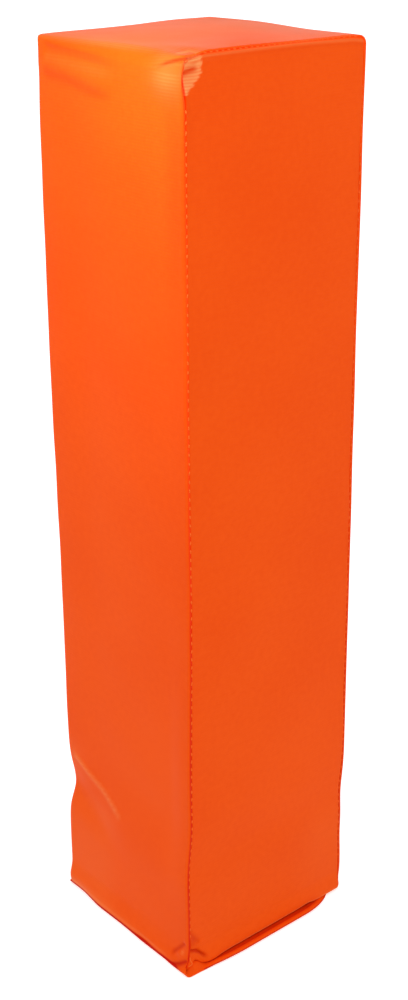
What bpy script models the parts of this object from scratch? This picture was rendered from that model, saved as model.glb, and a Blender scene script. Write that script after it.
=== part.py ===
"""Weighted goal line pylon: a sewn vinyl cover, a foam core and a sand pouch for ballast.

Metres, +Z up, standing on z = 0. The front face looks along -Y, and the bottom flap
turns on the fold along the lower edge of the -X side.
"""

import math

import bmesh
import bpy
from mathutils import Vector

# Driving dimensions
HEIGHT = 0.4572  # floor to the highest point of the top
WIDTH = 0.106  # front face, along X
DEPTH = 0.101  # front face to back face, along Y
VINYL = 0.0008  # coated cloth of the cover
CANVAS = 0.0005  # cloth of the ballast pouch
GAP = 0.0003  # left between pieces that touch

# Seams of the cover
ALLOWANCE = 0.008  # cloth turned in at a seam
FOLDED_GAP = 0.0006  # inside a cloth edge folded back on itself
PANEL_FOLD = 0.0010  # radius where the edge of the front or back turns in
PANEL_INSET = 0.0002  # its face stands this far behind the wrap's folded edge

# Folds of the wrap over the top
LEFT_FOLD = 0.0046  # radius over the top of the -X side, at the seams
LEFT_FOLD_SLACK = 0.0026  # more radius where that fold hangs slack
SLACK_PLACE = -0.026  # middle of the slack stretch, along Y
SLACK_SPREAD = (0.017, 0.030)  # it fades over these widths towards -Y and +Y
RIGHT_FOLD = 0.0045  # radius over the top of the +X side

# Hems and closure of the base
HEM_HEIGHT = 0.0014  # the hems of the front and back hang this far off the floor
HEM_TURN = 0.012  # cloth turned up inside a hem
HEM_INSET = 0.001  # that cloth is this much narrower at each end
CLIPPED = 0.006  # the wrap's folded edges end this far off the floor
TAB_LENGTH = 0.030  # turned in under the ballast from the +X side
TAB_HALF = 0.040  # half the tab's width
TAB_FOLD = 0.0020  # radius where it turns in
TAPE = (0.025, 0.070, 0.0009)  # hook and loop strips: width, length, thickness
TAPE_CORNER = 0.003
TAPE_MARGIN = 0.002  # from the tab's fold to its strip

# Bottom flap
LIP = 0.0053  # the flap stands out past the front and back faces
LIP_TAPER = 0.0025  # less so at the hinge
FLAP_END = 0.050  # free end, from the middle of the base
FLAP_CORNER = Vector((0.025, 0.014))  # oval rounding of its free corners, along X and Y

# Ballast pouch
POUCH_HALF_WIDTH = 0.0475
POUCH_HALF_DEPTH = 0.0450
POUCH_EDGE = 0.0025  # sewn edge round its middle
TAB_REACH = (0.002, 0.018)  # it climbs over the tab between these distances along X
TAB_SIDES = (0.040, 0.052)  # and beside the tab between these, along Y

# Filled shape: what the straight box of the cutting pattern becomes once it is stuffed
CROWN = 0.0007  # each face swells this much in its middle
FACE_BLEND = (0.010, 0.045)  # how far from the middle a face's own shape begins and is full
FLARE = 0.0045  # the hinge side stands out at the floor
FLARE_HEIGHTS = (0.0015, 0.016)  # and draws in between these heights
SWELL_FRONT = 0.0030  # the ballast pushes the hinge side out, at the front seam
SWELL_BACK = 0.0020  # and at the back seam
SWELL_HEIGHTS = (0.045, 0.090)  # fading between these heights
DENT = 0.0042  # hollow in the hinge side where the foam ends, deepest at the back seam
DENT_HEIGHT = 0.0665  # of its middle there
DENT_SLOPE = 0.45  # it runs down towards the front
DENT_SPREAD = (0.008, 0.013)  # it fades over these heights below and above
DENT_REACH = (-0.005, 0.050)  # it begins and is full at these places along Y
SEAM_PULL = 0.0010  # the dent draws the back seam in
WAIST = 0.0007  # the other sides draw in where the foam ends
WAIST_HEIGHT = 0.062
WAIST_SPREAD = (0.012, 0.014)
LEAN = Vector((-0.0008, 0.0006, 0.0))  # of the top
LEAN_HEIGHTS = (0.150, 0.330)
BODY_OFFSET = 0.0019  # centres the whole outline, flare and all, on the origin

# Rows of the mesh up the sides, closer round the base
BASE_ROWS = [0.0125 + 0.0105 * i for i in range(8)]
FOAM_BASE = BASE_ROWS[5]  # the foam stands on the ballast here
SHAFT = HEIGHT - 0.014 - BASE_ROWS[-1]
SHAFT_ROWS = [BASE_ROWS[-1] + SHAFT * (i / 6) ** 0.85 for i in range(1, 7)]

# Rows round the top, and across the flap, closer towards its edges
QUARTER_TURN = [math.radians(angle) for angle in (0, 30, 60, 90)]
TOP_SHARES = [1 / 3, 2 / 3]
FLAP_SHARES = [math.sin(math.radians(angle)) for angle in range(-90, 91, 20)]

# Layers between the outer face of the wrap and what lies behind its folded edges
FOLD_RADIUS = (2 * VINYL + FOLDED_GAP) / 2
FLANGE_DEPTH = 2 * FOLD_RADIUS + GAP
FOAM_REBATE = FLANGE_DEPTH + VINYL + 2 * GAP
SHEET_DEPTH = VINYL + GAP
PANEL_Y = DEPTH / 2 - PANEL_INSET

# Layers up from the floor: flap, hook strip, loop strip, tab
HOOK_HEIGHT = VINYL + GAP
LOOP_HEIGHT = HOOK_HEIGHT + TAPE[2] + GAP
TAB_HEIGHT = LOOP_HEIGHT + TAPE[2] + GAP

# The pouch lies on the flap's level, under the foam
POUCH_FLOOR = SHEET_DEPTH
POUCH_CENTRE = Vector((0, 0, (POUCH_FLOOR + FOAM_BASE - GAP) / 2))
POUCH_HALF = Vector((POUCH_HALF_WIDTH, POUCH_HALF_DEPTH, POUCH_CENTRE.z - POUCH_FLOOR))


def smooth(value, low, high):
    """0 below low, 1 above high, and an even turn between."""
    t = min(max((value - low) / (high - low), 0.0), 1.0)
    return t * t * (3 - 2 * t)


def hump(value, middle, spread):
    """1 at the middle, fading over the widths given for below and above it."""
    width = spread[0] if value < middle else spread[1]
    return math.exp(-(((value - middle) / width) ** 2))


def settle(point):
    """Where the filled cover holds a point of the straight, upright box."""
    x, y, z = point
    hinge_side = smooth(-x, *FACE_BLEND)
    free_side = smooth(x, *FACE_BLEND)
    front = smooth(-y, *FACE_BLEND)
    back = smooth(y, *FACE_BLEND)
    across_x = max(0.0, 1 - (2 * x / WIDTH) ** 2)
    across_y = max(0.0, 1 - (2 * y / DEPTH) ** 2)
    upright = smooth(z, 0.020, 0.100)

    # The hinge side: flared at the floor, swollen by the ballast, dented above it
    swell = SWELL_BACK + (SWELL_FRONT - SWELL_BACK) * smooth(-y, -DEPTH / 2, DEPTH / 2)
    swell *= 1 - smooth(z, *SWELL_HEIGHTS)
    stand_out = FLARE + (swell - FLARE) * smooth(z, *FLARE_HEIGHTS)
    dent_middle = DENT_HEIGHT + DENT_SLOPE * (y - DEPTH / 2)
    dent = smooth(y, *DENT_REACH) * hump(z, dent_middle, DENT_SPREAD)
    waist = WAIST * hump(z, WAIST_HEIGHT, WAIST_SPREAD)

    move = LEAN * smooth(z, *LEAN_HEIGHTS)
    move.x += BODY_OFFSET - hinge_side * (stand_out - DENT * dent) - free_side * waist
    move.x += CROWN * (free_side - hinge_side) * across_y * upright
    move.y += (front - back) * waist - SEAM_PULL * back * hinge_side * dent
    move.y += CROWN * (back - front) * across_x * upright
    move.z += CROWN * across_x * across_y * smooth(z, HEIGHT - 0.050, HEIGHT - CROWN)
    return Vector(point) + move


def outline(row, y, depth):
    """A point this deep inside the strip that runs up one side, over the top and down the other.

    A row is a place along that strip: a height up a side, an angle round a fold, a share
    of the way across the top, or a length along the tab.
    """
    part, place = row
    top = HEIGHT - CROWN
    left_radius = LEFT_FOLD + LEFT_FOLD_SLACK * hump(y, SLACK_PLACE, SLACK_SPREAD)
    if part == "left":
        return Vector((-WIDTH / 2 + depth, y, place))
    if part == "left fold":
        reach = left_radius - depth
        across = -WIDTH / 2 + left_radius - reach * math.cos(place)
        return Vector((across, y, top - left_radius + reach * math.sin(place)))
    if part == "top":
        start = -WIDTH / 2 + left_radius
        end = WIDTH / 2 - RIGHT_FOLD
        return Vector((start + (end - start) * place, y, top - depth))
    if part == "right fold":
        reach = RIGHT_FOLD - depth
        across = WIDTH / 2 - RIGHT_FOLD + reach * math.sin(place)
        return Vector((across, y, top - RIGHT_FOLD + reach * math.cos(place)))
    if part == "right":
        return Vector((WIDTH / 2 - depth, y, place))
    if part == "tab fold":
        reach = TAB_FOLD - depth
        across = WIDTH / 2 - TAB_FOLD + reach * math.cos(place)
        return Vector((across, y, TAB_HEIGHT + TAB_FOLD - reach * math.sin(place)))
    return Vector((WIDTH / 2 - TAB_FOLD - place, y, TAB_HEIGHT + depth))


def loft(mesh, rows):
    """Quads between each row of points and the next."""
    made = [[mesh.verts.new(point) for point in row] for row in rows]
    for low, high in zip(made, made[1:]):
        for i in range(len(low) - 1):
            mesh.faces.new((low[i], high[i], high[i + 1], low[i + 1]))
    return made


def settle_all(mesh):
    for v in mesh.verts:
        v.co = settle(v.co)


def face_outwards(mesh, centre):
    """Turns every face of an open or closed skin away from the middle of the piece."""
    bmesh.ops.recalc_face_normals(mesh, faces=mesh.faces)
    facing = 0.0
    for face in mesh.faces:
        facing += face.normal.dot(face.calc_center_median() - centre) * face.calc_area()
    if facing < 0:
        bmesh.ops.reverse_faces(mesh, faces=mesh.faces)


def material(name, colour, roughness):
    made = bpy.data.materials.new(name)
    made.use_nodes = True
    shader = made.node_tree.nodes["Principled BSDF"]
    shader.inputs["Base Color"].default_value = (*colour, 1.0)
    shader.inputs["Roughness"].default_value = roughness
    made.diffuse_color = (*colour, 1.0)
    return made


def add_object(name, mesh, finish, parent=None):
    """An object of this mesh; under a parent, its points are kept where they are."""
    data = bpy.data.meshes.new(name)
    if parent:
        bmesh.ops.translate(mesh, verts=mesh.verts, vec=-parent.location)
    mesh.to_mesh(data)
    mesh.free()
    data.shade_smooth()
    data.set_sharp_from_angle(angle=math.radians(40))
    data.materials.append(finish)
    made = bpy.data.objects.new(name, data)
    made.parent = parent
    bpy.context.scene.collection.objects.link(made)
    return made


def thicken(made, thickness):
    """A sheet modelled by its outer face gets its thickness inwards."""
    solidify = made.modifiers.new("thickness", "SOLIDIFY")
    solidify.thickness = thickness
    solidify.offset = -1
    solidify.use_even_offset = True
    solidify.use_quality_normals = True


def wrap_columns():
    """Places across the wrap, with their depth: flat to the folds, then turned back inside."""
    flat = DEPTH / 2 - FOLD_RADIUS
    half = [(TAB_HALF / 3, 0.0), (TAB_HALF, 0.0), (flat, 0.0)]
    for angle in (60, 120, 180):
        turn = math.radians(angle)
        half.append((flat + FOLD_RADIUS * math.sin(turn), FOLD_RADIUS * (1 - math.cos(turn))))
    half.append((flat - ALLOWANCE, 2 * FOLD_RADIUS))
    return [(-y, depth) for y, depth in reversed(half)] + half


def make_cover_wrap(finish):
    """One strip: up the hinge side, over the top, down the free side and in as the tab.

    Both long edges are folded back on themselves where the front and back are sewn on.
    """
    rows = [("left", z) for z in (0.0, FLARE_HEIGHTS[0], CLIPPED, *BASE_ROWS, *SHAFT_ROWS)]
    rows += [("left fold", angle) for angle in QUARTER_TURN]
    rows += [("top", share) for share in TOP_SHARES]
    rows += [("right fold", angle) for angle in QUARTER_TURN]
    rows += [("right", z) for z in reversed(BASE_ROWS + SHAFT_ROWS)]
    edge = len(rows)
    rows += [("tab fold", math.radians(angle)) for angle in (0, 45, 90)]
    rows += [("tab", TAB_LENGTH - TAB_FOLD)]

    columns = wrap_columns()
    mesh = bmesh.new()
    made = loft(mesh, [[outline(row, y, depth) for y, depth in columns] for row in rows])

    # The turned edges stop short of the flap, and the tab is narrower than its side
    spare = [v for row in made[:2] for v, (y, depth) in zip(row, columns) if depth > 0]
    for row in made[edge + 1 :]:
        spare += [v for v, (y, depth) in zip(row, columns) if abs(y) > TAB_HALF + GAP or depth]
    bmesh.ops.delete(mesh, geom=spare, context="VERTS")

    # Each side of the tab, the cloth runs on down to the floor
    corner = set()
    for v, (y, depth) in zip(made[edge], columns):
        if abs(y) >= TAB_HALF or depth:
            corner.add(v)
    rim = [e for e in mesh.edges if e.is_boundary and set(e.verts) <= corner]
    drop = bmesh.ops.extrude_edge_only(mesh, edges=rim)
    for v in drop["geom"]:
        if isinstance(v, bmesh.types.BMVert):
            v.co.z = 0.0

    settle_all(mesh)
    thicken(add_object("cover_wrap", mesh, finish), VINYL)


def make_end_panel(name, side, finish):
    """The front (side -1) or back (side 1): a tray of cloth, its edges turned in behind the wrap's."""

    def place(row, y, depth):
        return outline(row, side * y, depth)

    def crossing(left, right, y, depth):
        start = place(left, y, depth)
        end = place(right, y, depth)
        return [start.lerp(end, share) for share in (0, 0.25, 0.5, 0.75, 1)]

    # Hem, from its raw edge inside, round under the bottom and up the face
    face = FLANGE_DEPTH + PANEL_FOLD
    hem = HEM_HEIGHT + FOLD_RADIUS
    rows = []
    for height, angle in ((HEM_TURN, 180), (0, 180), (0, 135), (0, 90), (0, 45)):
        turn = math.radians(angle)
        z = hem + height - FOLD_RADIUS * math.sin(turn)
        y = PANEL_Y - FOLD_RADIUS * (1 - math.cos(turn))
        inset = face + (HEM_INSET if angle > 90 else 0)
        rows.append(crossing(("left", z), ("right", z), y, inset))

    # Face, up to the folds and round them
    sides = [hem, *BASE_ROWS, *SHAFT_ROWS]
    for z in sides:
        rows.append(crossing(("left", z), ("right", z), PANEL_Y, face))
    for angle in QUARTER_TURN:
        ends = (("left fold", angle), ("right fold", math.pi / 2 - angle))
        rows.append(crossing(*ends, PANEL_Y, face))

    mesh = bmesh.new()
    loft(mesh, rows)

    # Turned edge, up one side, over and down the other
    rim = [("left", z) for z in sides]
    rim += [("left fold", angle) for angle in QUARTER_TURN]
    rim += [("top", share) for share in (0.25, 0.5, 0.75)]
    rim += [("right fold", angle) for angle in QUARTER_TURN]
    rim += [("right", z) for z in reversed(sides)]
    quarter = PANEL_FOLD * (1 - math.sqrt(0.5))
    bends = (
        (face, PANEL_Y),
        (FLANGE_DEPTH + quarter, PANEL_Y - quarter),
        (FLANGE_DEPTH, PANEL_Y - PANEL_FOLD),
        (FLANGE_DEPTH, PANEL_Y - ALLOWANCE),
    )
    loft(mesh, [[place(row, y, depth) for row in rim] for depth, y in bends])
    bmesh.ops.remove_doubles(mesh, verts=mesh.verts, dist=1e-6)

    settle_all(mesh)
    if side < 0:
        bmesh.ops.reverse_faces(mesh, faces=mesh.faces)
    thicken(add_object(name, mesh, finish), VINYL)


def make_foam_core(finish):
    """A block cut to fill the cover, pressed in along its edges by the turned cloth."""
    heights = [z for z in BASE_ROWS + SHAFT_ROWS if z >= FOAM_BASE]
    profile = [("left", z) for z in heights]
    profile += [("left fold", angle) for angle in QUARTER_TURN]
    profile += [("top", share) for share in TOP_SHARES]
    profile += [("right fold", angle) for angle in QUARTER_TURN]
    profile += [("right", z) for z in reversed(heights)]

    end = PANEL_Y - SHEET_DEPTH
    pressed = DEPTH / 2 - FOLD_RADIUS - ALLOWANCE - GAP
    half = [(TAB_HALF / 3, SHEET_DEPTH), (pressed - FOAM_REBATE / 2, SHEET_DEPTH)]
    half += [(pressed, FOAM_REBATE), (end, FOAM_REBATE)]
    stations = [(-y, depth) for y, depth in reversed(half)] + half

    mesh = bmesh.new()
    loops = loft(mesh, [[outline(row, y, depth) for row in profile] for y, depth in stations])
    for near, far in zip(loops, loops[1:]):
        mesh.faces.new((near[-1], far[-1], far[0], near[0]))
    for loop, turned in ((loops[0], True), (loops[-1], False)):
        for i in range(len(loop) // 2 - 1):
            ladder = (loop[i], loop[i + 1], loop[-i - 2], loop[-i - 1])
            mesh.faces.new(reversed(ladder) if turned else ladder)
    settle_all(mesh)
    face_outwards(mesh, Vector((0, 0, HEIGHT / 2)))
    add_object("foam_core", mesh, finish)


def pillow(half, centre):
    """A full, square cushion: a cube whose corners are drawn in to a sixth-power oval."""
    mesh = bmesh.new()
    bmesh.ops.create_cube(mesh, size=2)
    bmesh.ops.subdivide_edges(mesh, edges=mesh.edges, cuts=5, use_grid_fill=True)
    for v in mesh.verts:
        reach = sum(abs(c) ** 6 for c in v.co) ** (1 / 6)
        v.co = centre + Vector(c / reach * size for c, size in zip(v.co, half))
    return mesh


def lay_over_tab(mesh):
    """The soft underside of the pouch rides up over the closure tab, and then it settles."""
    for v in mesh.verts:
        low = 1 - smooth(v.co.z, 0.0, POUCH_CENTRE.z)
        beside = smooth(abs(v.co.y), *TAB_SIDES)
        v.co.z += TAB_HEIGHT * low * smooth(v.co.x, *TAB_REACH) * (1 - beside)
    settle_all(mesh)


def make_ballast(canvas, sand):
    """Two squares of canvas sewn round their edge, and the sand that fills them."""
    for name, upper in (("ballast_pouch_top", True), ("ballast_pouch_bottom", False)):
        mesh = pillow(POUCH_HALF, POUCH_CENTRE)
        bmesh.ops.bisect_plane(
            mesh,
            geom=mesh.verts[:] + mesh.edges[:] + mesh.faces[:],
            dist=1e-6,
            plane_co=POUCH_CENTRE,
            plane_no=(0, 0, 1),
            clear_inner=upper,
            clear_outer=not upper,
        )
        rim = [e for e in mesh.edges if e.is_boundary]
        for v in bmesh.ops.extrude_edge_only(mesh, edges=rim)["geom"]:
            if isinstance(v, bmesh.types.BMVert):
                v.co += Vector((v.co.x, v.co.y, 0)).normalized() * POUCH_EDGE
        # The halves meet with a gap, each a canvas thickness off the middle
        clear = (CANVAS + GAP / 2) / POUCH_HALF.z
        for v in mesh.verts:
            rise = POUCH_HALF.z - abs(v.co.z - POUCH_CENTRE.z)
            v.co.z += (clear if upper else -clear) * rise
        lay_over_tab(mesh)
        face_outwards(mesh, POUCH_CENTRE)
        thicken(add_object(name, mesh, canvas), CANVAS)

    mesh = pillow(POUCH_HALF - Vector((CANVAS + GAP,) * 3), POUCH_CENTRE)
    lay_over_tab(mesh)
    add_object("sand_fill", mesh, sand)


def flap_half_width(x):
    """Half the flap's width: it stands out as a lip, and its free corners are rounded."""
    lip = DEPTH / 2 + LIP - LIP_TAPER * smooth(-x, 0.020, WIDTH / 2)
    corner = max(0.0, x - (FLAP_END - FLAP_CORNER.x)) / FLAP_CORNER.x
    return lip - FLAP_CORNER.y * (1 - math.sqrt(max(0.0, 1 - corner**2)))


def make_bottom_flap(finish, hinge):
    """The floor of the cover, from the fold on the hinge side to its free end."""
    start = -WIDTH / 2 + VINYL + GAP
    corner = FLAP_END - FLAP_CORNER.x
    places = [start + (corner - start) * i / 5 for i in range(6)]
    places += [corner + FLAP_CORNER.x * math.sin(math.radians(a)) for a in (20, 38, 55, 73, 90)]
    rows = [[Vector((x, flap_half_width(x) * share, 0)) for share in FLAP_SHARES] for x in places]
    mesh = bmesh.new()
    loft(mesh, rows)
    settle_all(mesh)
    bmesh.ops.reverse_faces(mesh, faces=mesh.faces)
    thicken(add_object("bottom_flap", mesh, finish, hinge), VINYL)


def make_strip(name, height, finish, parent=None):
    """A closure strip with rounded corners, sewn across the free end of the base."""
    width, length, thickness = TAPE
    middle = WIDTH / 2 - TAB_FOLD - TAPE_MARGIN - width / 2
    mesh = bmesh.new()
    bmesh.ops.create_cube(mesh, size=1)
    for v in mesh.verts:
        v.co = Vector((v.co.x * width, v.co.y * length, (v.co.z + 0.5) * thickness))
        v.co += Vector((middle + BODY_OFFSET, 0, height))
    upright = [e for e in mesh.edges if abs(e.verts[0].co.z - e.verts[1].co.z) > thickness / 2]
    bmesh.ops.bevel(
        mesh, geom=upright, offset=TAPE_CORNER, segments=3, affect="EDGES", profile=0.5
    )
    add_object(name, mesh, finish, parent)


def main():
    for old in list(bpy.data.objects):
        bpy.data.objects.remove(old)

    vinyl = material("orange_vinyl", (0.90, 0.13, 0.01), 0.42)
    lining = material("flap_vinyl", (0.86, 0.12, 0.01), 0.45)
    foam = material("grey_foam", (0.20, 0.20, 0.21), 0.95)
    canvas = material("pouch_canvas", (0.55, 0.50, 0.40), 0.90)
    sand = material("sand", (0.45, 0.36, 0.24), 0.95)
    hook = material("hook_tape", (0.03, 0.03, 0.03), 0.70)
    loop = material("loop_tape", (0.05, 0.05, 0.05), 0.95)

    make_cover_wrap(vinyl)
    make_end_panel("front_panel", -1, vinyl)
    make_end_panel("back_panel", 1, vinyl)
    make_foam_core(foam)
    make_ballast(canvas, sand)
    make_strip("loop_strip", LOOP_HEIGHT, loop)

    hinge = bpy.data.objects.new("flap_hinge", None)
    hinge.location = settle(Vector((-WIDTH / 2, 0, 0)))
    bpy.context.scene.collection.objects.link(hinge)
    make_bottom_flap(lining, hinge)
    make_strip("hook_strip", HOOK_HEIGHT, hook, hinge)


main()
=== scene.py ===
# %% [markdown]
# # A goal line pylon in orange vinyl
#
# The pylon is a tall cushion. A strip of coated cloth runs up one side, over the top and
# down the far side, and a front and a back panel are sewn between its edges. Foam fills it,
# and a pouch of sand under the foam keeps it upright. The bottom is a flap of the same
# strip, held shut by hook and loop tape.
#
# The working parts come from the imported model. Everything here is laid over them: cloth
# with real thickness, folded edges, puckers at the corners, thread, and the finishes.

# %% Load the frame
import math
from contextlib import contextmanager
import bpy
import numpy as np
from mathutils import Matrix, Vector


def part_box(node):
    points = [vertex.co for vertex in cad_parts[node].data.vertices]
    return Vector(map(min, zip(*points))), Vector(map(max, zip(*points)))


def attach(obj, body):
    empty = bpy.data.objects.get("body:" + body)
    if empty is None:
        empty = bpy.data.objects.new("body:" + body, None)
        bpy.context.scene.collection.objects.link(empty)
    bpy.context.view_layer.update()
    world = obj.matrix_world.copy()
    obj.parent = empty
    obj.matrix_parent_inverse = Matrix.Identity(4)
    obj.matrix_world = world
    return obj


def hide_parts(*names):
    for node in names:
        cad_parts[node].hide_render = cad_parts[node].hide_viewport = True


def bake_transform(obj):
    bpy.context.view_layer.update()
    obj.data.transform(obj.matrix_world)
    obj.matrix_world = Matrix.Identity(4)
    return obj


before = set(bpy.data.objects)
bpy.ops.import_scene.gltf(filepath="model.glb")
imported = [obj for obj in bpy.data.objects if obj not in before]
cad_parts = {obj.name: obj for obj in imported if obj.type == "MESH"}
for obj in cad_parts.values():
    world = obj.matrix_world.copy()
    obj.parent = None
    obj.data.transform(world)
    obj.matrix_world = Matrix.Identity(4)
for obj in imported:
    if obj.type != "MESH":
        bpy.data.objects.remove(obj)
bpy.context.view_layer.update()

# %% [markdown]
# ## Sizes
#
# A maker starts from the cutting pattern, so the sizes come first: the straight box that
# the cloth is cut for. They are the same as in the solid model, because the cloth has to
# lie on it. Everything is in metres, and mm() turns millimetres into metres, where small
# sizes and places are easier to read that way.


# %% Sizes of the cover
def mm(*values):
    """Millimetres as metres: one number, or a list of numbers or places."""
    metres = np.array(values, float) / 1000
    return float(metres[0]) if metres.size == 1 else metres


HEIGHT, WIDTH, DEPTH = 0.4572, 0.106, 0.101
SIDE = WIDTH / 2
CROWN = mm(0.7)  # the middle of each face, above its edges
TOP = HEIGHT - CROWN
DOME = mm(2.5)  # the same on the top
VINYL = mm(0.8)
SEAM_SIDE, SEAM_TOP = mm(1.9), mm(0.8)  # from the strip's face to its seam with the panel
SEAM_GAP = mm(0.04)
ROLL = mm(1.9, 0.9)  # the strip rolls round the corner: along Y, and inwards
TURN_IN = mm(0.6)  # and then turns into the seam
PANEL_INSET, PANEL_TURN = mm(0.2), mm(0.6)
LEFT_FOLD, LEFT_FOLD_SLACK = mm(4.6), mm(2.6)
RIGHT_FOLD = mm(3.8)
HEM_HEIGHT, HEM_RADIUS, HEM_TURN = mm(1.4), mm(1.1), mm(12)
TAB_LENGTH, TAB_HALF, TAB_FOLD, TAB_HEIGHT = mm(30), mm(40), mm(2), mm(3.5)
FLAP_END, FLAP_CORNER = mm(50), mm(27, 16.5)
LIP, LIP_TAPER = mm(6.3), mm(2.5)
HINGE_FOLD = mm(0.9)
print("box of", WIDTH, "by", DEPTH, "by", HEIGHT)


# %% [markdown]
# ## How the filled cover settles
#
# Cloth over foam is never a straight box. The ballast pushes the hinge side out, the side
# is dented where the foam ends above it, the faces are crowned, and the top leans a little.
# These soft turns are all made of three curves: smooth() rises once, fade() falls once, and
# hump() rises and falls. Whole arrays of points go through at once, so thousands take no
# time.


# %% Settling
def smooth(value, low, high):
    """0 below low, rising to 1 at high."""
    t = np.clip((value - low) / (high - low), 0, 1)
    return t * t * (3 - 2 * t)


def fade(value, low, high):
    """1 below low, falling to 0 at high."""
    return 1 - smooth(value, low, high)


def hump(value, middle, below, above):
    """1 in the middle, falling off over one width below it and another above it."""
    width = np.where(value < middle, below, above)
    return np.exp(-(((value - middle) / width) ** 2))


def foot(y):
    """How far the hinge side's bottom edge stands back from its place, along Y."""
    made = mm(2.1) * smooth(y, 0.020, 0.042) - mm(0.6) - mm(0.7) * smooth(-y, -0.005, 0.020)
    return made - mm(0.4) * smooth(-y, 0.033, 0.042)


def stuffed(x, y, z):
    """What the stuffing adds: fuller edges at the far left and right, and a fuller top."""
    far_edge = mm(1.7) * smooth(z, -0.004, 0.016) - mm(0.8) * hump(z, 0.037, 0.012, 0.014)
    far_edge += mm(0.6) * hump(z, 0.092, 0.020, 0.030)
    add_x = far_edge * smooth(x, 0.030, 0.050) * smooth(-y, 0.034, 0.049)
    left = mm(1.1) * smooth(z, 0.054, 0.068) - mm(0.8) * smooth(z, 0.400, 0.445)
    add_x -= left * smooth(-x, 0.030, 0.050) * smooth(y, 0.018, 0.046)
    add_x += foot(y) * smooth(-x, 0.046, 0.052) * fade(z, 0.000, 0.008)
    near_seam = smooth(-x, 0.040, 0.050) * smooth(-y, 0.034, 0.046)
    add_x -= mm(1.2) * near_seam * hump(z, 0.105, 0.045, 0.070)
    corner = smooth(-x, 0.0395, 0.0460) * smooth(-y, 0.036, 0.045)
    front_edge = smooth(-y, 0.012, 0.044) * smooth(x, -0.0475, -0.0395) * fade(x, 0.042, 0.053)
    far = smooth(x, 0.000, 0.035) * smooth(y, -0.025, 0.020)
    add_z = mm(0.6) - mm(0.3) * corner + mm(1.0) * front_edge + mm(0.9) * far
    add_z -= mm(0.45) * smooth(x, 0.010, 0.050)
    return add_x, add_z * smooth(z, 0.440, 0.4545)


def settle(points):
    """Points of the straight box, moved to where the stuffing holds the cloth."""
    x, y, z = points.T
    hinge_side, free_side, front, back = (smooth(a, 0.010, 0.045) for a in (-x, x, -y, y))
    across_x = np.maximum(0, 1 - (x / SIDE) ** 2)
    across_y = np.maximum(0, 1 - (2 * y / DEPTH) ** 2)
    upright = smooth(z, 0.020, 0.100)

    # the flare at the foot, the swell over the ballast, and the dent and waist above it
    flare = mm(4.5)
    swell = (mm(2) + mm(1) * smooth(-y, -DEPTH / 2, DEPTH / 2)) * fade(z, 0.045, 0.090)
    stand_out = flare + (swell - flare) * smooth(z, 0.0015, 0.016)
    dent_height = 0.0665 + 0.45 * (y - DEPTH / 2)
    dent = smooth(y, -0.005, 0.050) * hump(z, dent_height, 0.0095, 0.0145)
    waist = mm(0.7) * hump(z, 0.062, 0.012, 0.014)

    lean = smooth(z, 0.150, 0.330)
    moved = points.copy()
    moved[:, 0] += mm(1.9) - mm(0.8) * lean
    moved[:, 0] -= hinge_side * (stand_out - mm(3.7) * dent) + free_side * waist
    moved[:, 0] += CROWN * (free_side - hinge_side) * across_y * upright
    moved[:, 1] += mm(0.6) * lean + (front - back) * waist - mm(1) * back * hinge_side * dent
    moved[:, 1] += CROWN * (back - front) * across_x * upright
    moved[:, 2] += DOME * across_x * across_y * smooth(z, HEIGHT - 0.050, TOP)
    add_x, add_z = stuffed(x, y, z)
    moved[:, 0] += add_x
    moved[:, 2] += add_z
    return moved


# %% [markdown]
# ## The path of the strip
#
# The strip is one length of cloth: the flap from its free end, the fold at the hinge, the
# hinge side, the top, the far side, and the tab turned in below. A row is one place along
# it, and outline() gives the row's points for every column across, each at its own depth
# inside the outer face, with the direction that is outwards there.


# %% Path of the strip
def outline(row, y, depth):
    """Points of a row at these y places and depths, and its outward direction."""
    part, place = row
    left = LEFT_FOLD + LEFT_FOLD_SLACK * hump(y, -0.026, 0.017, 0.030)
    if part == "flap":
        x, z, out = place, depth, (0, 0, -1)
    elif part == "hinge":
        out = (-math.sin(place), 0, -math.cos(place))
        x = -SIDE + HINGE_FOLD + (HINGE_FOLD - depth) * out[0]
        z = HINGE_FOLD + (HINGE_FOLD - depth) * out[2]
    elif part == "left":
        x, z, out = -SIDE + depth, place, (-1, 0, 0)
    elif part == "left fold":
        # a quarter of a circle in the middle, and squarer towards the seams
        power = 1 - 0.6 * smooth(np.abs(y), 0.030, 0.050)
        turn_x, turn_z = math.cos(place) ** power, math.sin(place) ** power
        out_x, out_z = math.cos(place) ** (2 - power), math.sin(place) ** (2 - power)
        size = np.hypot(out_x, out_z)
        x = -SIDE + left * (1 - turn_x) + depth * out_x / size
        z = TOP - left * (1 - turn_z) - depth * out_z / size
        out = np.column_stack([-out_x / size, np.zeros(y.shape), out_z / size])
    elif part == "top":
        start, end = -SIDE + left, SIDE - RIGHT_FOLD
        x, z, out = start + (end - start) * place, TOP - depth, (0, 0, 1)
    elif part == "right fold":
        out = (math.sin(place), 0, math.cos(place))
        x = SIDE - RIGHT_FOLD + (RIGHT_FOLD - depth) * out[0]
        z = TOP - RIGHT_FOLD + (RIGHT_FOLD - depth) * out[2]
    elif part == "right":
        x, z, out = SIDE - depth, place, (1, 0, 0)
    elif part == "tab fold":
        out = (math.cos(place), 0, -math.sin(place))
        x = SIDE - TAB_FOLD + (TAB_FOLD - depth) * out[0]
        z = TAB_HEIGHT + TAB_FOLD + (TAB_FOLD - depth) * out[2]
    else:
        x, z, out = SIDE - TAB_FOLD - place, TAB_HEIGHT + depth, (0, 0, -1)
    points = np.column_stack([np.broadcast_to(a, y.shape) for a in (x, y, z)]).astype(float)
    return points, np.array(out, float)


def stations(*stretches):
    """Places along stretches (start, end, step), each start being the last one's end."""
    made = [stretches[0][0]]
    for start, end, step in stretches:
        count = max(1, round(abs(end - start) / step))
        made += list(np.linspace(start, end, count + 1)[1:])
    return made


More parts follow.
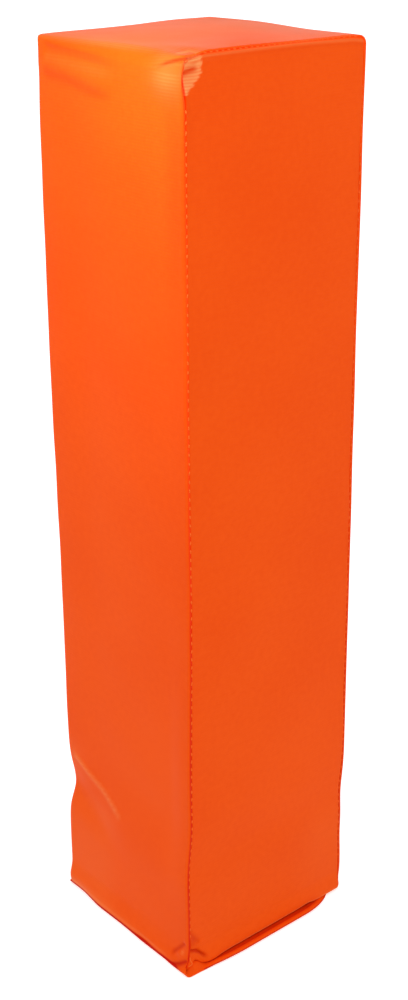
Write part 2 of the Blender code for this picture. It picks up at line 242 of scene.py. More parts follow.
def turn(start, end, steps):
    """Angles in radians, from degrees."""
    return [math.radians(a) for a in np.linspace(start, end, steps + 1)]


# %% [markdown]
# ## Creases and puckers
#
# What makes sewn vinyl look real is where it is not smooth. Each crease is a short line of
# places on a face and a width: along() finds how far every point is from the line, and
# crease() gives 1 on it, fading to both sides and, if asked, towards its ends. Several
# waves that cross make the gentle unevenness of a stuffed cover.


# %% Creases
def along(a, b, path):
    """Distance from each point (a, b) to a line of places, and the share along it."""
    best = np.full(a.shape, 1e9)
    share = np.zeros(a.shape)
    steps = np.linalg.norm(np.diff(path, axis=0), axis=1)
    done = 0.0
    for start, end, length in zip(path, path[1:], steps):
        d = (end - start) / length
        t = np.clip((a - start[0]) * d[0] + (b - start[1]) * d[1], 0, length)
        away = np.hypot(a - start[0] - t * d[0], b - start[1] - t * d[1])
        closer = away < best
        best = np.where(closer, away, best)
        share = np.where(closer, (done + t) / steps.sum(), share)
        done += length
    return best, share


def crease(a, b, path, width, start_fade=0.0, end_fade=0.0):
    """1 on a path and 0 away from it, path and width in mm, the fades in shares of its length."""
    away, share = along(a, b, mm(*path))
    made = np.exp(-((away / mm(width)) ** 2))
    if start_fade:
        made = made * smooth(share, 0, start_fade)
    if end_fade:
        made = made * smooth(1 - share, 0, end_fade)
    return made


def creases(a, b, *lines):
    """The sum of several creases, each given with its amount first."""
    return sum(amount * crease(a, b, *line) for amount, *line in lines)


def bump(a, b, place, wide, high):
    """1 at a place on a face, fading over these widths along and up it, all in mm."""
    return hump(a, mm(place[0]), mm(wide), mm(wide)) * hump(b, mm(place[1]), mm(high), mm(high))


def slack(a, b, length, seed):
    """Gentle unevenness of stuffed cloth: a few crossing waves, from about -1 to 1."""
    draw = np.random.default_rng(seed)
    made = np.zeros(a.shape)
    for _ in range(7):
        angle, phase = draw.uniform(0, math.pi), draw.uniform(0, 2 * math.pi)
        wave = 2 * math.pi / (length * draw.uniform(0.7, 1.6))
        made += np.sin(wave * (a * math.cos(angle) + b * math.sin(angle)) + phase)
    return made / 4


# %% [markdown]
# ## Relief of the hinge side and the front
#
# These functions are the map of the real cover's creases, in millimetres on each face: how
# high each stands, its path, its width, and how it fades at its ends. On the hinge side
# are the long ridge above the ballast, the sag under the top, the full corner beside the
# front seam with its groove, and the crumpled foot of that seam. On the front are the
# little gathered patch where the seam ends at the top, which a fold crosses, and the foot
# again.


# %% Relief of the hinge side
RIDGE = [(47, 86.3), (40, 83.1), (33, 79.2), (23, 75.6), (17.5, 73), (9.7, 68.1), (7.2, 65.4), (6.1, 61.5)]
HOLLOW = [(43, 450.9), (28, 449.6), (13, 448.5), (-8, 446.9)]
SWELLING = [(46, 445), (28, 443.2), (13, 441.3), (-10, 439)]
SEAM_CREASE = [(-50, 455.6), (-42, 453.6), (-32, 450.4)]
FOOT_CREASE = [(-48.5, 17), (-44.4, 12.3), (-41.1, 8.5), (-38.3, 5)]
FOOT_HOLLOW = [(-28, -0.5), (-40.6, 1), (-45.5, 3.4), (-49.5, 6.4)]


def side_relief(y, z):
    """How far the hinge side stands out of its settled form."""
    made = 0.22 * slack(y, z, 0.045, 3) * smooth(z, 0.010, 0.060) + creases(
        y, z,
        (0.7, RIDGE, 1.5, 0.1, 0.15),
        (-0.8, HOLLOW, 2, 0, 0.4),
        (0.7, SWELLING, 4, 0, 0.3),
        (-1.1, SEAM_CREASE, 0.8, 0, 0.5),
        (-0.8, FOOT_CREASE, 1.2, 0.1, 0.2),
        (-0.8, FOOT_HOLLOW, 1.3, 0.4),
    )
    made += 1.8 * bump(y, z, (-41, 446), 12, 7) + 0.7 * bump(y, z, (-45.5, 9), 2.5, 2.5)
    made -= 0.8 * bump(y, z, (-17, 2.2), 7, 1.8)
    made += 0.9 * hump(z, mm(1.0), mm(1), mm(1.5)) * smooth(-y, 0.040, 0.050)
    return mm(1) * made


# %% Relief of the front
RIB = mm(1.45)  # from rib to rib of the cloth
FRONT_CREASE = [(-53, 12.6), (-49.1, 10.7), (-46.4, 8.6), (-43.7, 5.9), (-41, 3)]
FRONT_FOLD = [(-52.7, 23.7), (-50.4, 20), (-45.7, 14.4)]
PATCH_FOLD = [(-51.5, 449.5), (-43, 451.5)]
PATCH_RIGHT, PATCH_BELOW = mm(-41.5), mm(490.1)  # its right side is upright, its lower one slopes


def wave(where, length):
    return np.sin(where * 2 * math.pi / length)


def in_patch(x, z):
    """How far inside the gathered patch at the front's top corner a point is."""
    jagged = mm(0.35) * wave(z, 1.9 * RIB) + mm(0.25) * wave(z, 1.13 * RIB)
    return np.minimum(PATCH_RIGHT - x, (z - x - PATCH_BELOW) / math.sqrt(2)) + jagged


def rib_wave(x, z):
    """The patch's ribs, which slope a little."""
    return wave(z - 0.25 * (x + 0.044), RIB)


def front_relief(x, z):
    """How far the front panel stands out of its settled form."""
    patch = in_patch(x, z)
    made = 0.20 * slack(x, z, 0.050, 8) * smooth(z, 0.010, 0.060) + creases(
        x, z,
        (-0.9, PATCH_FOLD, 0.85, 0, 0.3),
        (-1.3, FRONT_CREASE, 0.9, 0, 0.2),
        (-0.5, FRONT_FOLD, 1.6, 0, 0.2),
    )
    made += 0.12 * rib_wave(x, z) * smooth(patch, mm(0.3), mm(1.5)) * smooth(z, 0.4514, 0.4522)
    made += 0.8 * bump(x, z, (-48.5, 14), 3.5, 1.8) + 0.6 * bump(x, z, (-38, 1), 5, 5)
    made += 1.9 * fade(z, 0.001, 0.012) * smooth(x, -0.050, -0.040)
    made += 0.4 * smooth(x, 0.031, 0.038) * fade(z, 0.001, 0.014)
    sunk = 0.17 * np.maximum(0, patch) * smooth(z, 0.430, 0.445)
    return mm(1) * made - sunk


def hem_lift(x):
    """How far the front's hem rides up or droops along its length."""
    made = mm(3.4) * hump(x, mm(-49), mm(3), mm(2.6)) - mm(0.4) * hump(x, mm(-39), mm(4), mm(5))
    made += mm(0.4) * hump(x, mm(30), mm(4), mm(2)) - mm(0.4) * smooth(x, 0.032, 0.038)
    return made - mm(0.1)


# %% [markdown]
# ## Laying a sheet
#
# Each piece of cloth is first a flat grid, as it leaves the cutting table, with one vertex
# where each row crosses each column. Its UV map is its real size in metres, so the weave
# keeps its scale wherever the cloth goes. Then every vertex is lifted to its place, and a
# Solidify modifier gives the cloth its thickness, with the woven back as its second
# material. Three attributes carry painted light and shade to the finish at each vertex: the
# first is painted highlights and sheen, and the paler stretched cloth of the gathered patch;
# deep is painted shade in creases and seams; and glow is a painted red glow where the cloth
# is turned in at a seam.


# %% Selecting and editing
def deselect():
    if bpy.context.object and bpy.context.object.mode != "OBJECT":
        bpy.ops.object.mode_set(mode="OBJECT")
    bpy.ops.object.select_all(action="DESELECT")


def pick(piece):
    deselect()
    piece.select_set(True)
    bpy.context.view_layer.objects.active = piece


@contextmanager
def editing():
    """Edit mode, for the lines inside the with."""
    bpy.ops.object.mode_set(mode="EDIT")
    yield
    bpy.ops.object.mode_set(mode="OBJECT")


def named(name):
    """The piece that was just made, under its name."""
    piece = bpy.context.object
    piece.name = piece.data.name = name
    return piece


def join(piece, other):
    """Makes another piece a part of this one."""
    pick(piece)
    other.select_set(True)
    bpy.ops.object.join()


def apply_modifier(piece, modifier):
    pick(piece)
    bpy.ops.object.modifier_apply(modifier=modifier.name)


# %% Laying a sheet
# painted highlights and sheen, painted shade, and painted glow, in this order
MARKS = ("sheen_and_whitening", "deep", "glow")


def lengths(points):
    """Cloth lengths along the middle column and across the middle row."""
    rows, columns = points.shape[:2]
    up = np.linalg.norm(np.diff(points[:, columns // 2], axis=0), axis=1)
    over = np.linalg.norm(np.diff(points[rows // 2], axis=0), axis=1)
    return np.insert(np.cumsum(up), 0, 0), np.insert(np.cumsum(over), 0, 0)


def lay_sheet(name, points, start=0.0, **marks):
    """A grid of cloth in its sewn place, with marks: named values from 0 to 1 at its points."""
    rows, columns = points.shape[:2]
    up, over = lengths(points)
    deselect()
    bpy.ops.mesh.primitive_grid_add(x_subdivisions=columns - 1, y_subdivisions=rows - 1, size=1)
    piece = named(name)
    mesh = piece.data
    corner = np.zeros(len(mesh.loops), int)
    mesh.loops.foreach_get("vertex_index", corner)
    uv = np.column_stack([over[corner % columns], start + up[corner // columns]])
    mesh.uv_layers.active.name = "cloth"
    mesh.uv_layers.active.data.foreach_set("uv", uv.ravel())
    mesh.vertices.foreach_set("co", points.ravel())
    for mark in MARKS:
        values = np.clip(np.broadcast_to(marks.get(mark, 0.0), (rows, columns)), 0, 1)
        mesh.attributes.new(mark, "FLOAT", "POINT").data.foreach_set("value", values.ravel())
    mesh.update()
    print(name, "cut", round(over[-1], 4), "by", round(up[-1], 4), "m,", rows * columns, "points")
    return piece


def cut_away(piece, spare):
    """Deletes the points of a sheet that the pattern doesn't have."""
    pick(piece)
    with editing():
        bpy.ops.mesh.select_mode(type="VERT")
        bpy.ops.mesh.select_all(action="DESELECT")
    piece.data.vertices.foreach_set("select", np.asarray(spare, bool).ravel())
    with editing():
        bpy.ops.mesh.delete(type="VERT")


def weld(piece):
    """Merges the points of a piece that lie in one place."""
    pick(piece)
    with editing():
        bpy.ops.mesh.select_all(action="SELECT")
        bpy.ops.mesh.remove_doubles(threshold=1e-6)


def give_thickness(piece, thickness=VINYL):
    """The sheet is modelled by its outer face, and thickens inwards."""
    solidify = piece.modifiers.new("thickness", "SOLIDIFY")
    solidify.thickness = thickness
    solidify.offset = -1
    solidify.material_offset = 1
    apply_modifier(piece, solidify)
    bpy.ops.object.shade_smooth_by_angle(angle=math.radians(50))


# %% [markdown]
# ## Finishes
#
# The cover is a coated cloth: a satin skin over a woven base, so the weave shows as a fine
# ribbed grain. The skin is a Principled shader with the grain as a small bump in cloth
# coordinates, slow noise for uneven colour and gloss, and finer noise for mottling. The
# three marks then paint light and shade on it: a paler tint for painted highlights and
# sheen, and for the stretched cloth of the gathered patch; a deeper red for painted shade
# in creases and seams; and a painted red glow at turned-in edges. The few helpers here keep
# each finish short.


# %% Finish helpers
def feed(to, socket, value):
    """Gives a node's socket a value: another node's output, a colour or a number."""
    if isinstance(value, bpy.types.NodeSocket):
        to.id_data.links.new(value, to.inputs[socket])
    else:
        to.inputs[socket].default_value = (*value, 1) if isinstance(value, tuple) else value


def new_finish(name, colour, roughness, gloss):
    """A finish in one colour, and its shader. Its gloss is the shader's specular level."""
    made = bpy.data.materials.new(name)
    made.use_nodes = True
    made.diffuse_color = (*colour, 1)
    shader = made.node_tree.nodes["Principled BSDF"]
    feed(shader, "Base Color", colour)
    feed(shader, "Roughness", roughness)
    feed(shader, "Specular IOR Level", gloss)
    return made, shader


def node(near, kind, inputs=(), **settings):
    """A new node beside a node or a socket, with its settings and its inputs."""
    new = near.id_data.nodes.new(kind)
    for key, value in settings.items():
        setattr(new, key, value)
    for key, value in dict(inputs).items():
        feed(new, key, value)
    return new


def in_cloth(near):
    """Places in the cloth's own UV map, for a pattern that follows it."""
    return node(near, "ShaderNodeUVMap", uv_map="cloth").outputs["UV"]


def in_object(near):
    return node(near, "ShaderNodeTexCoord").outputs["Object"]


def noise(where, scale, detail):
    inputs = {"Vector": where, "Scale": scale, "Detail": detail}
    return node(where, "ShaderNodeTexNoise", inputs).outputs["Fac"]


def cells(where, scale):
    return node(where, "ShaderNodeTexVoronoi", {"Vector": where, "Scale": scale}).outputs["Distance"]


def ribs(where, period, direction, wobble):
    """Waves with this real distance between their crests, along X, Y or Z."""
    inputs = {"Vector": where, "Scale": math.pi / (10 * period), "Distortion": wobble, "Detail Scale": 2.0}
    waves = node(where, "ShaderNodeTexWave", inputs, wave_type="BANDS", bands_direction=direction)
    return waves.outputs["Fac"]


def mixed(factor, first, second):
    """A colour between two, by a factor's socket. Sockets 6 and 7 are the node's two colours."""
    inputs = {"Factor": factor, 6: first, 7: second}
    return node(factor, "ShaderNodeMix", inputs, data_type="RGBA").outputs[2]


def scaled(value, low, high, from_low=0.0, from_high=1.0):
    limits = {"Value": value, "From Min": from_low, "From Max": from_high, "To Min": low, "To Max": high}
    return node(value, "ShaderNodeMapRange", limits).outputs["Result"]


def times(first, second):
    return node(first, "ShaderNodeMath", {0: first, 1: second}, operation="MULTIPLY").outputs[0]


def plus(first, second):
    return node(first, "ShaderNodeMath", {0: first, 1: second}, operation="ADD").outputs[0]


def raise_surface(shader, height, distance):
    relief = node(shader, "ShaderNodeBump", {"Height": height, "Distance": distance, "Strength": 1.0})
    feed(shader, "Normal", relief.outputs["Normal"])


# %% Orange vinyl
ORANGE = (0.95, 0.094, 0.0035)
DEEP_ORANGE = (0.92, 0.082, 0.0025)
# paler tint of painted highlights and sheen, and of the stretched patch
PALE_ORANGE = (1.0, 0.40, 0.13)
# deeper red of painted shade
SHADE_RED = (0.58, 0.007, 0.0006)
# emission colour of the painted glow
GLOW_RED = (1.0, 0.02, 0.0)


def make_vinyl():
    """The coated side: noises for tone, mottling and fine grain, then the three marks of painted light and
    shade.
    """
    made, shader = new_finish("orange_vinyl", ORANGE, 0.42, gloss=0.028)
    cloth = in_cloth(shader)
    tone, mottle, fine = noise(cloth, 14, 4), noise(cloth, 320, 2), noise(cloth, 900, 2)
    reads = [node(shader, "ShaderNodeAttribute", attribute_name=mark) for mark in MARKS]
    sheen_and_whitening, deep, glow = (read.outputs["Fac"] for read in reads)
    rib, weft = ribs(cloth, RIB, "Y", 0.6), ribs(cloth, mm(0.95), "X", 0.6)
    clouded = plus(times(tone, 0.6), times(mottle, 0.4))
    uneven = mixed(scaled(clouded, 0, 1, 0.38, 0.62), ORANGE, DEEP_ORANGE)
    # painted highlights and sheen: a paler tint along the ribs, and the stretched patch
    with_sheen_and_whitening = mixed(times(sheen_and_whitening, scaled(rib, 0.6, 0.95)), uneven, PALE_ORANGE)
    # painted shade: a deeper red in creases and seams
    feed(shader, "Base Color", mixed(deep, with_sheen_and_whitening, SHADE_RED))
    # painted glow: red emission at turned-in edges
    feed(shader, "Emission Color", GLOW_RED)
    feed(shader, "Emission Strength", times(glow, 0.25))
    feed(shader, "Roughness", scaled(tone, 0.34, 0.48, 0.3, 0.7))
    raise_surface(shader, plus(plus(rib, times(weft, 0.35)), times(fine, 0.5)), mm(0.035))
    return made


def make_woven(name, where_in, colour, dark, light, threads, wobble, height, roughness, gloss):
    """Plain cloth: threads this far apart along X and Y, dark between them."""
    made, shader = new_finish(name, colour, roughness, gloss)
    where = where_in(shader)
    weave = times(*(ribs(where, threads, way, wobble) for way in "XY"))
    feed(shader, "Base Color", mixed(weave, dark, light))
    raise_surface(shader, weave, height)
    return made


def make_backing():
    """The bare woven side of the coated cloth."""
    return make_woven(
        "vinyl_backing", in_cloth, (0.80, 0.17, 0.04), (0.55, 0.10, 0.02), (0.86, 0.26, 0.09),
        threads=mm(0.8), wobble=0.6, height=mm(0.15), roughness=0.9, gloss=0.3,
    )


COVER_FINISH = (make_vinyl(), make_backing())
print("cover finished in", [finish.name for finish in COVER_FINISH])


def finish_piece(piece, body, finishes, replaced=()):
    """Gives a piece its finishes and says which body it rides on and which solids it replaces."""
    for finish in finishes:
        piece.data.materials.append(finish)
    if body:
        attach(piece, body)
    if replaced:
        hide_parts(*replaced)
    print(piece.name, "finished, with", len(piece.data.polygons), "faces")


# %% [markdown]
# ## The strip
#
# The strip could be five flat faces, but then its corners would be sharp and its seams
# painted on. Here its columns run across from the back edge to the front edge, and at each
# edge they roll round the corner, turn into the seam and run on inside as the seam
# allowance, so the seam is a real groove between two turned edges of cloth.


# %% The strip's columns
def seam_bow(z):
    """Near the top, the front seam bows towards the corner."""
    return mm(0.9) * hump(z, mm(447.5), mm(5), mm(5))


def seam_depth(row):
    """The seam lies deeper on the upright corners than along the top's edges."""
    part, place = row
    if part == "top":
        return SEAM_TOP
    towards_side = {"left fold": math.cos(place), "right fold": math.sin(place)}.get(part, 1)
    return SEAM_TOP + (SEAM_SIDE - SEAM_TOP) * towards_side**2


def strip_edge(seam):
    """From the flat to the raw edge: distances in from the cloth's edge, and depths."""
    reach, deep = ROLL[0], ROLL[1] * seam / SEAM_SIDE
    made = [(reach * (1 - math.sin(u)), deep * (1 - math.cos(u))) for u in turn(15, 90, 5)]
    for v in turn(22.5, 90, 3):
        made.append((TURN_IN * (1 - math.cos(v)), deep + (seam - deep) * math.sin(v)))
    return np.array(made + [(place, max(seam, SEAM_TOP)) for place in mm(3, 5.5, 8)])


FLAT_END = DEPTH / 2 - ROLL[0]
FLATS = np.array(stations(
    (FLAT_END, FLAT_END - 0.014, mm(1.4)),
    (FLAT_END - 0.014, -FLAT_END + 0.022, mm(2.8)),
    (-FLAT_END + 0.022, -FLAT_END, mm(0.7)),
))
EDGE_COUNT = len(strip_edge(SEAM_SIDE))


def strip_line(edge):
    """Values of the back edge, the flat and the front edge, in one row of columns."""
    return np.r_[edge[::-1], np.zeros(len(FLATS)), edge]


IS_EDGE = strip_line(np.ones(EDGE_COUNT)) > 0
IS_TURNED = strip_line(np.arange(EDGE_COUNT) >= EDGE_COUNT - 3) > 0
STRIP_GLOW = strip_line(smooth(np.arange(EDGE_COUNT), 2, 6))


def strip_columns(row):
    """y places and depths across the strip, for one row."""
    seam = seam_depth(row)
    bow = seam_bow(row[1]) if row[0] == "left" else 0
    back, front = strip_edge(seam)[::-1], strip_edge(seam - bow)
    y = np.r_[DEPTH / 2 - back[:, 0], FLATS, front[:, 0] - DEPTH / 2]
    return y, np.r_[back[:, 1], np.zeros(len(FLATS)), front[:, 1]]


def strip_rows(rows):
    """Points of the strip, row by row, settled and with their relief."""
    made = []
    for row in rows:
        points, out = outline(row, *strip_columns(row))
        points = settle(points)
        x, y, z = points.T
        if row[0] in ("left", "left fold"):
            raised = side_relief(y, z)
        else:
            raised = mm(0.2) * slack(y, z + x, 0.05, 21) * smooth(z + x, 0.07, 0.11)
        if row[0] in ("tab fold", "tab"):
            raised = 0 * y
        if row[0] == "right":
            raised = raised + mm(1.2) * smooth(-y, 0.043, 0.049) * hump(z, mm(1), mm(3), mm(3.5))
        made.append(points + out * raised[:, None])
    return np.array(made)


# %% Cut and fold the strip
BASE_JOIN = mm(3.5)  # below here, the fold at the hinge is a piece of its own
SHAFT = (0.100, 0.420)  # rows may be wide apart between these heights
left_rows = [("left", z) for z in stations(
    (BASE_JOIN, 0.025, mm(0.7)),
    (0.025, SHAFT[0], mm(1.8)),
    (*SHAFT, mm(5)),
    (SHAFT[1], TOP - LEFT_FOLD - LEFT_FOLD_SLACK, mm(0.7)),
)]
top_rows = [("left fold", angle) for angle in turn(0, 90, 16)]
top_rows += [("top", share) for share in np.linspace(0, 1, 34)[1:-1]]
top_rows += [("right fold", angle) for angle in turn(0, 90, 10)]
right_rows = [("right", z) for z in stations(
    (TOP - RIGHT_FOLD, SHAFT[0], mm(6)),
    (SHAFT[0], 0.030, mm(2.5)),
    (0.030, TAB_HEIGHT + TAB_FOLD, mm(1.2)),
)[1:]]
tab_rows = [("tab fold", angle) for angle in turn(0, 90, 5)[1:]]
tab_rows += [("tab", place) for place in stations((0, TAB_LENGTH - TAB_FOLD, mm(2.5)))[1:]]
upright_rows = left_rows + top_rows + right_rows
wrap_grid = strip_rows(upright_rows + tab_rows)
print("strip of", wrap_grid.shape[0], "rows and", wrap_grid.shape[1], "columns")

# %% [markdown]
# ## Painted highlights, sheen and shade on the strip
#
# The marks paint the cloth paler as highlights and sheen where it catches the light or faces
# up, and a deeper red as shade in its creases and seams. They follow the same paths as the
# relief, so a painted highlight sits on its ridge and painted shade in its groove. The fold
# at the hinge and the two panels use these functions again.

# %% Marks
BRIGHT_BAND = [(43, 448.2), (13, 445.8), (-8, 443.9)]
UPPER_SHADE = [(43, 453.5), (13, 451.2), (-8, 449.9)]
LOWER_SHADE = [(43, 441.4), (28, 439.7), (13.8, 436.9), (-7.5, 434.2)]


def side_marks(points):
    """Painted highlights and sheen on the hinge side, paler, and painted shade in its creases, redder."""
    x, y, z = np.moveaxis(points, -1, 0)
    # painted highlights and sheen: the ridge, the bright band, the full corner, a glint, and sheen low down
    sheen_and_whitening = creases(y, z, (0.36, RIDGE, 1.4, 0.1, 0.12), (0.05, BRIGHT_BAND, 2.5, 0, 0.3))
    sheen_and_whitening += 0.24 * bump(y, z, (-42, 448), 9, 8) + 0.10 * bump(y, z, (47, 84), 8, 7)
    sheen_and_whitening += 0.30 * bump(y, z, (-47, 10.8), 0.9, 1.2)
    sheen_and_whitening += 0.055 * smooth(y, 0.003, 0.023) * fade(z, 0.056, 0.068)
    sheen_and_whitening += 0.14 * smooth(y, -0.036, 0.030) * fade(z, 0.001, 0.009)
    sheen_and_whitening += 0.18 * smooth(y, -0.040, -0.030) * hump(z, mm(3.0), mm(0.7), mm(0.9))
    # painted shade: the creases, the two dark bands, the hollow at the foot, near the front seam, towards
    # the back above mid height, and under the fold
    deep = creases(
        y, z,
        (0.50, SEAM_CREASE, 0.8, 0, 0.5),
        (0.45, FOOT_CREASE, 1.1, 0.1, 0.2),
        (0.20, UPPER_SHADE, 1.6, 0, 0.4),
        (0.24, LOWER_SHADE, 2.8, 0, 0.3),
        (0.80, FOOT_HOLLOW, 1.2, 0.3),
    )
    deep += smooth(-y, 0.034, 0.046) * (0.03 + 0.18 * hump(z, 0.418, 0.060, 0.021))
    deep += 0.06 * smooth(y, 0, 0.040) * smooth(z, 0.250, 0.400)
    deep += fade(z, mm(1.7), mm(2.3)) * fade(-y, 0.043, 0.050)
    hinge_side = smooth(-x, 0.0480, 0.0505) * smooth(z, mm(0.02), mm(0.15))
    return {"sheen_and_whitening": sheen_and_whitening * hinge_side, "deep": np.minimum(deep, 1) * hinge_side}


def top_sheen(points):
    """Painted sheen on the top, least along its front edge."""
    x, y, z = np.moveaxis(points, -1, 0)
    on_top = smooth(z, 0.4545, 0.4575) * smooth(x, -0.056, -0.049) * fade(x, 0.0485, 0.0520)
    return on_top * (0.20 - 0.20 * smooth(-y, 0.000, 0.045) * (1 - 0.6 * smooth(x, -0.015, 0.025)))


def tight(points):
    """The upright seams away from the hinge, which are drawn together and show little."""
    return smooth(points[..., 0], 0.035, 0.045) * fade(points[..., 2], 0.4500, 0.4550)


def gathered(points):
    """Where the top edge is gathered, above the front left corner."""
    x, y, z = np.moveaxis(points, -1, 0)
    return smooth(-x, 0.0410, 0.0450) * fade(-x, 0.0515, 0.0530) * smooth(z, 0.4515, 0.4535) * (y < 0)


def seam_shade(points, glow):
    """Painted shade, a deeper red, in turned-in edges, most low down, where little light comes in."""
    z = points[..., 2]
    shade = 0.95 - 0.80 * smooth(z, 0.140, 0.360) - 0.15 * smooth(z, 0.4520, 0.4540)
    return glow * shade * (1 - 0.6 * tight(points))


def seam_glow(points, glow):
    """Painted glow in the turned-in cloth at seams, least low down and where it is gathered."""
    lit = 0.6 + 0.4 * smooth(points[..., 2], 0.020, 0.250)
    return glow * lit * (1 - 0.7 * gathered(points)) * (1 - 0.8 * tight(points))


marks = side_marks(wrap_grid)
# painted sheen on the top, and a painted highlight on the gathered edges at the top corner
marks["sheen_and_whitening"] = np.maximum(marks["sheen_and_whitening"], top_sheen(wrap_grid)) + 0.3 * STRIP_GLOW * gathered(wrap_grid)
# painted shade in the seams
marks["deep"] = np.maximum(marks["deep"], seam_shade(wrap_grid, STRIP_GLOW))
print("strongest marks:", {name: round(float(values.max()), 2) for name, values in marks.items()})

# %% Lay the strip
wrap = lay_sheet("cover_strip", wrap_grid, glow=seam_glow(wrap_grid, STRIP_GLOW), **marks)
side_y = strip_columns(("right", 0))[0]
below = np.arange(len(wrap_grid))[:, None] >= len(upright_rows)
middle = (np.abs(side_y) <= TAB_HALF) & ~IS_EDGE
cut_away(wrap, below & ~middle[None, :])

# beside the tab, the far side runs on down to the floor
shoulder_rows = [("right", z) for z in stations((TAB_HEIGHT + TAB_FOLD, mm(0.1), mm(0.9)))]
shoulder_grid = strip_rows(shoulder_rows)
shoulders = lay_sheet("shoulders", shoulder_grid, start=lengths(wrap_grid)[0][len(upright_rows) - 1])
inner = np.abs(side_y) < TAB_HALF - mm(2.6)
cut_away(shoulders, np.broadcast_to((inner | IS_TURNED)[None, :], shoulder_grid.shape[:2]))
join(wrap, shoulders)
weld(wrap)
give_thickness(wrap)
finish_piece(wrap, "pylon", COVER_FINISH, ["cover_wrap"])

# %% [markdown]
# ## Front and back panels
#
# A panel is a tray of cloth. Its edges turn in beside the strip's, and its bottom edge is
# turned up inside as a hem. The grid runs from the raw edge of the hem up to the top edge,
# and there the side columns end and only the face's columns turn over, so the two corners
# meet like a gift box and are welded.


# %% Panel pattern
PANEL_Y = DEPTH / 2 - PANEL_INSET
HEM_TOP = HEM_HEIGHT + HEM_RADIUS  # where the hem's round edge runs into the face


def panel_edge(seam):
    """From the raw edge to the face: insets, and distances behind the face."""
    made = [(seam + SEAM_GAP, place) for place in mm(8, 5.5, 3)]
    for v in turn(90, 0, 6):
        made.append((seam + SEAM_GAP + PANEL_TURN * (1 - math.sin(v)), PANEL_TURN * (1 - math.cos(v))))
    return np.array(made)


TOP_EDGE = panel_edge(SEAM_TOP)
EDGES = len(TOP_EDGE) - 1  # columns on each side that turn in beside the strip's
FACE_WIDTH = WIDTH - 2 * panel_edge(SEAM_SIDE)[-1, 0]
FACE = np.array(stations(
    (0, 0.018, mm(0.7)),
    (0.018, FACE_WIDTH - 0.014, mm(2.6)),
    (FACE_WIDTH - 0.014, FACE_WIDTH, mm(1.2)),
))
ACROSS = np.r_[np.zeros(EDGES), FACE / FACE_WIDTH, np.ones(EDGES)]  # 0 at the left, 1 at the right


def panel_row(edge, face=0.0):
    """Values of the left edge, the face and the right edge, in one row of columns."""
    return np.r_[edge, np.full(len(FACE), face), edge[::-1]]


def panel_rows():
    """Rows from the hem's raw edge to the top: kind, and height, angle or edge station."""
    rows = [("turned up", z) for z in stations((HEM_TOP + HEM_TURN, HEM_TOP, mm(2)))]
    rows += [("hem", angle) for angle in turn(165, 15, 7)]
    rows += [("side", z) for z in stations(
        (HEM_TOP, 0.028, mm(0.7)),
        (0.028, SHAFT[0], mm(1.8)),
        (*SHAFT, mm(5)),
        (SHAFT[1], TOP - mm(5.4), mm(0.5)),
    )]
    rows += [("top", angle) for angle in turn(0, 90, 12)]
    return rows + [("over", i) for i in reversed(range(EDGES))]


# %% Points of a panel
def upright_line(side, kind, place, inset, behind):
    """A row of the face, of the hem's round edge or of the cloth turned up behind it."""
    drop = HEM_RADIUS * math.sin(place) if kind == "hem" else 0
    z = np.full(len(ACROSS), (HEM_TOP if kind == "hem" else place) - drop)
    back = {"turned up": 2 * HEM_RADIUS, "side": 0}.get(kind, HEM_RADIUS * (1 - math.cos(place)))
    bow = seam_bow(z) * fade(behind, 0, mm(2.5)) * (ACROSS < 0.5) * (side < 0)
    left, right = -SIDE + inset - bow * (ACROSS == 0), SIDE - inset
    return np.column_stack([left + (right - left) * ACROSS, side * (PANEL_Y - behind - back), z])


def top_line(side, kind, place, inset, behind, angle):
    """A row where the face turns over at the top, or of the allowance behind that."""
    if kind == "over":
        inset, behind = np.full((2, len(ACROSS)), TOP_EDGE[place][:, None])
    y = side * (PANEL_Y - behind)
    start, _ = outline(("left fold", angle), y, inset)
    end, _ = outline(("right fold", math.pi / 2 - angle), y, inset)
    return start + (end - start) * ACROSS[:, None]


def panel_line(side, kind, place):
    """Points of one row of the front (side -1) or the back (side 1)."""
    angle = {"top": place, "over": math.pi / 2}.get(kind, 0)
    edge = panel_edge(seam_depth(("left fold", angle)))
    inset, behind = panel_row(edge[:-1, 0], edge[-1, 0]), panel_row(edge[:-1, 1])
    if kind in ("top", "over"):
        line = settle(top_line(side, kind, place, inset, behind, angle))
    else:
        line = settle(upright_line(side, kind, place, inset, behind))
    x, z = line[:, 0].copy(), line[:, 2].copy()
    if side < 0:
        line[:, 1] -= front_relief(x, z)
        line[:, 2] += hem_lift(x) * fade(z, 0.001, 0.015)
    else:
        line[:, 1] += mm(0.25) * slack(x, z, 0.05, 5) * smooth(z, 0.01, 0.06)
    return line


def panel_grid(side):
    """Points of a panel, which of them the pattern lacks, and the painted glow of their turned-in edges."""
    edge_glow = panel_row(smooth(TOP_EDGE[:-1, 1], 0, PANEL_TURN))
    is_edge = panel_row(np.ones(EDGES)) > 0
    grid, spare, glow = [], [], []
    for kind, place in panel_rows():
        turned_in = {"side": 0, "hem": smooth(place, 0.9, 1.6), "top": smooth(place, 1.2, 1.57)}
        grid.append(panel_line(side, kind, place))
        spare.append(is_edge & (kind == "over"))
        glow.append(np.maximum(edge_glow, turned_in.get(kind, 1)))
    # the back's columns run the other way, so that its faces point outwards too
    return [np.array(values)[:, ::-side] for values in (grid, spare, glow)]


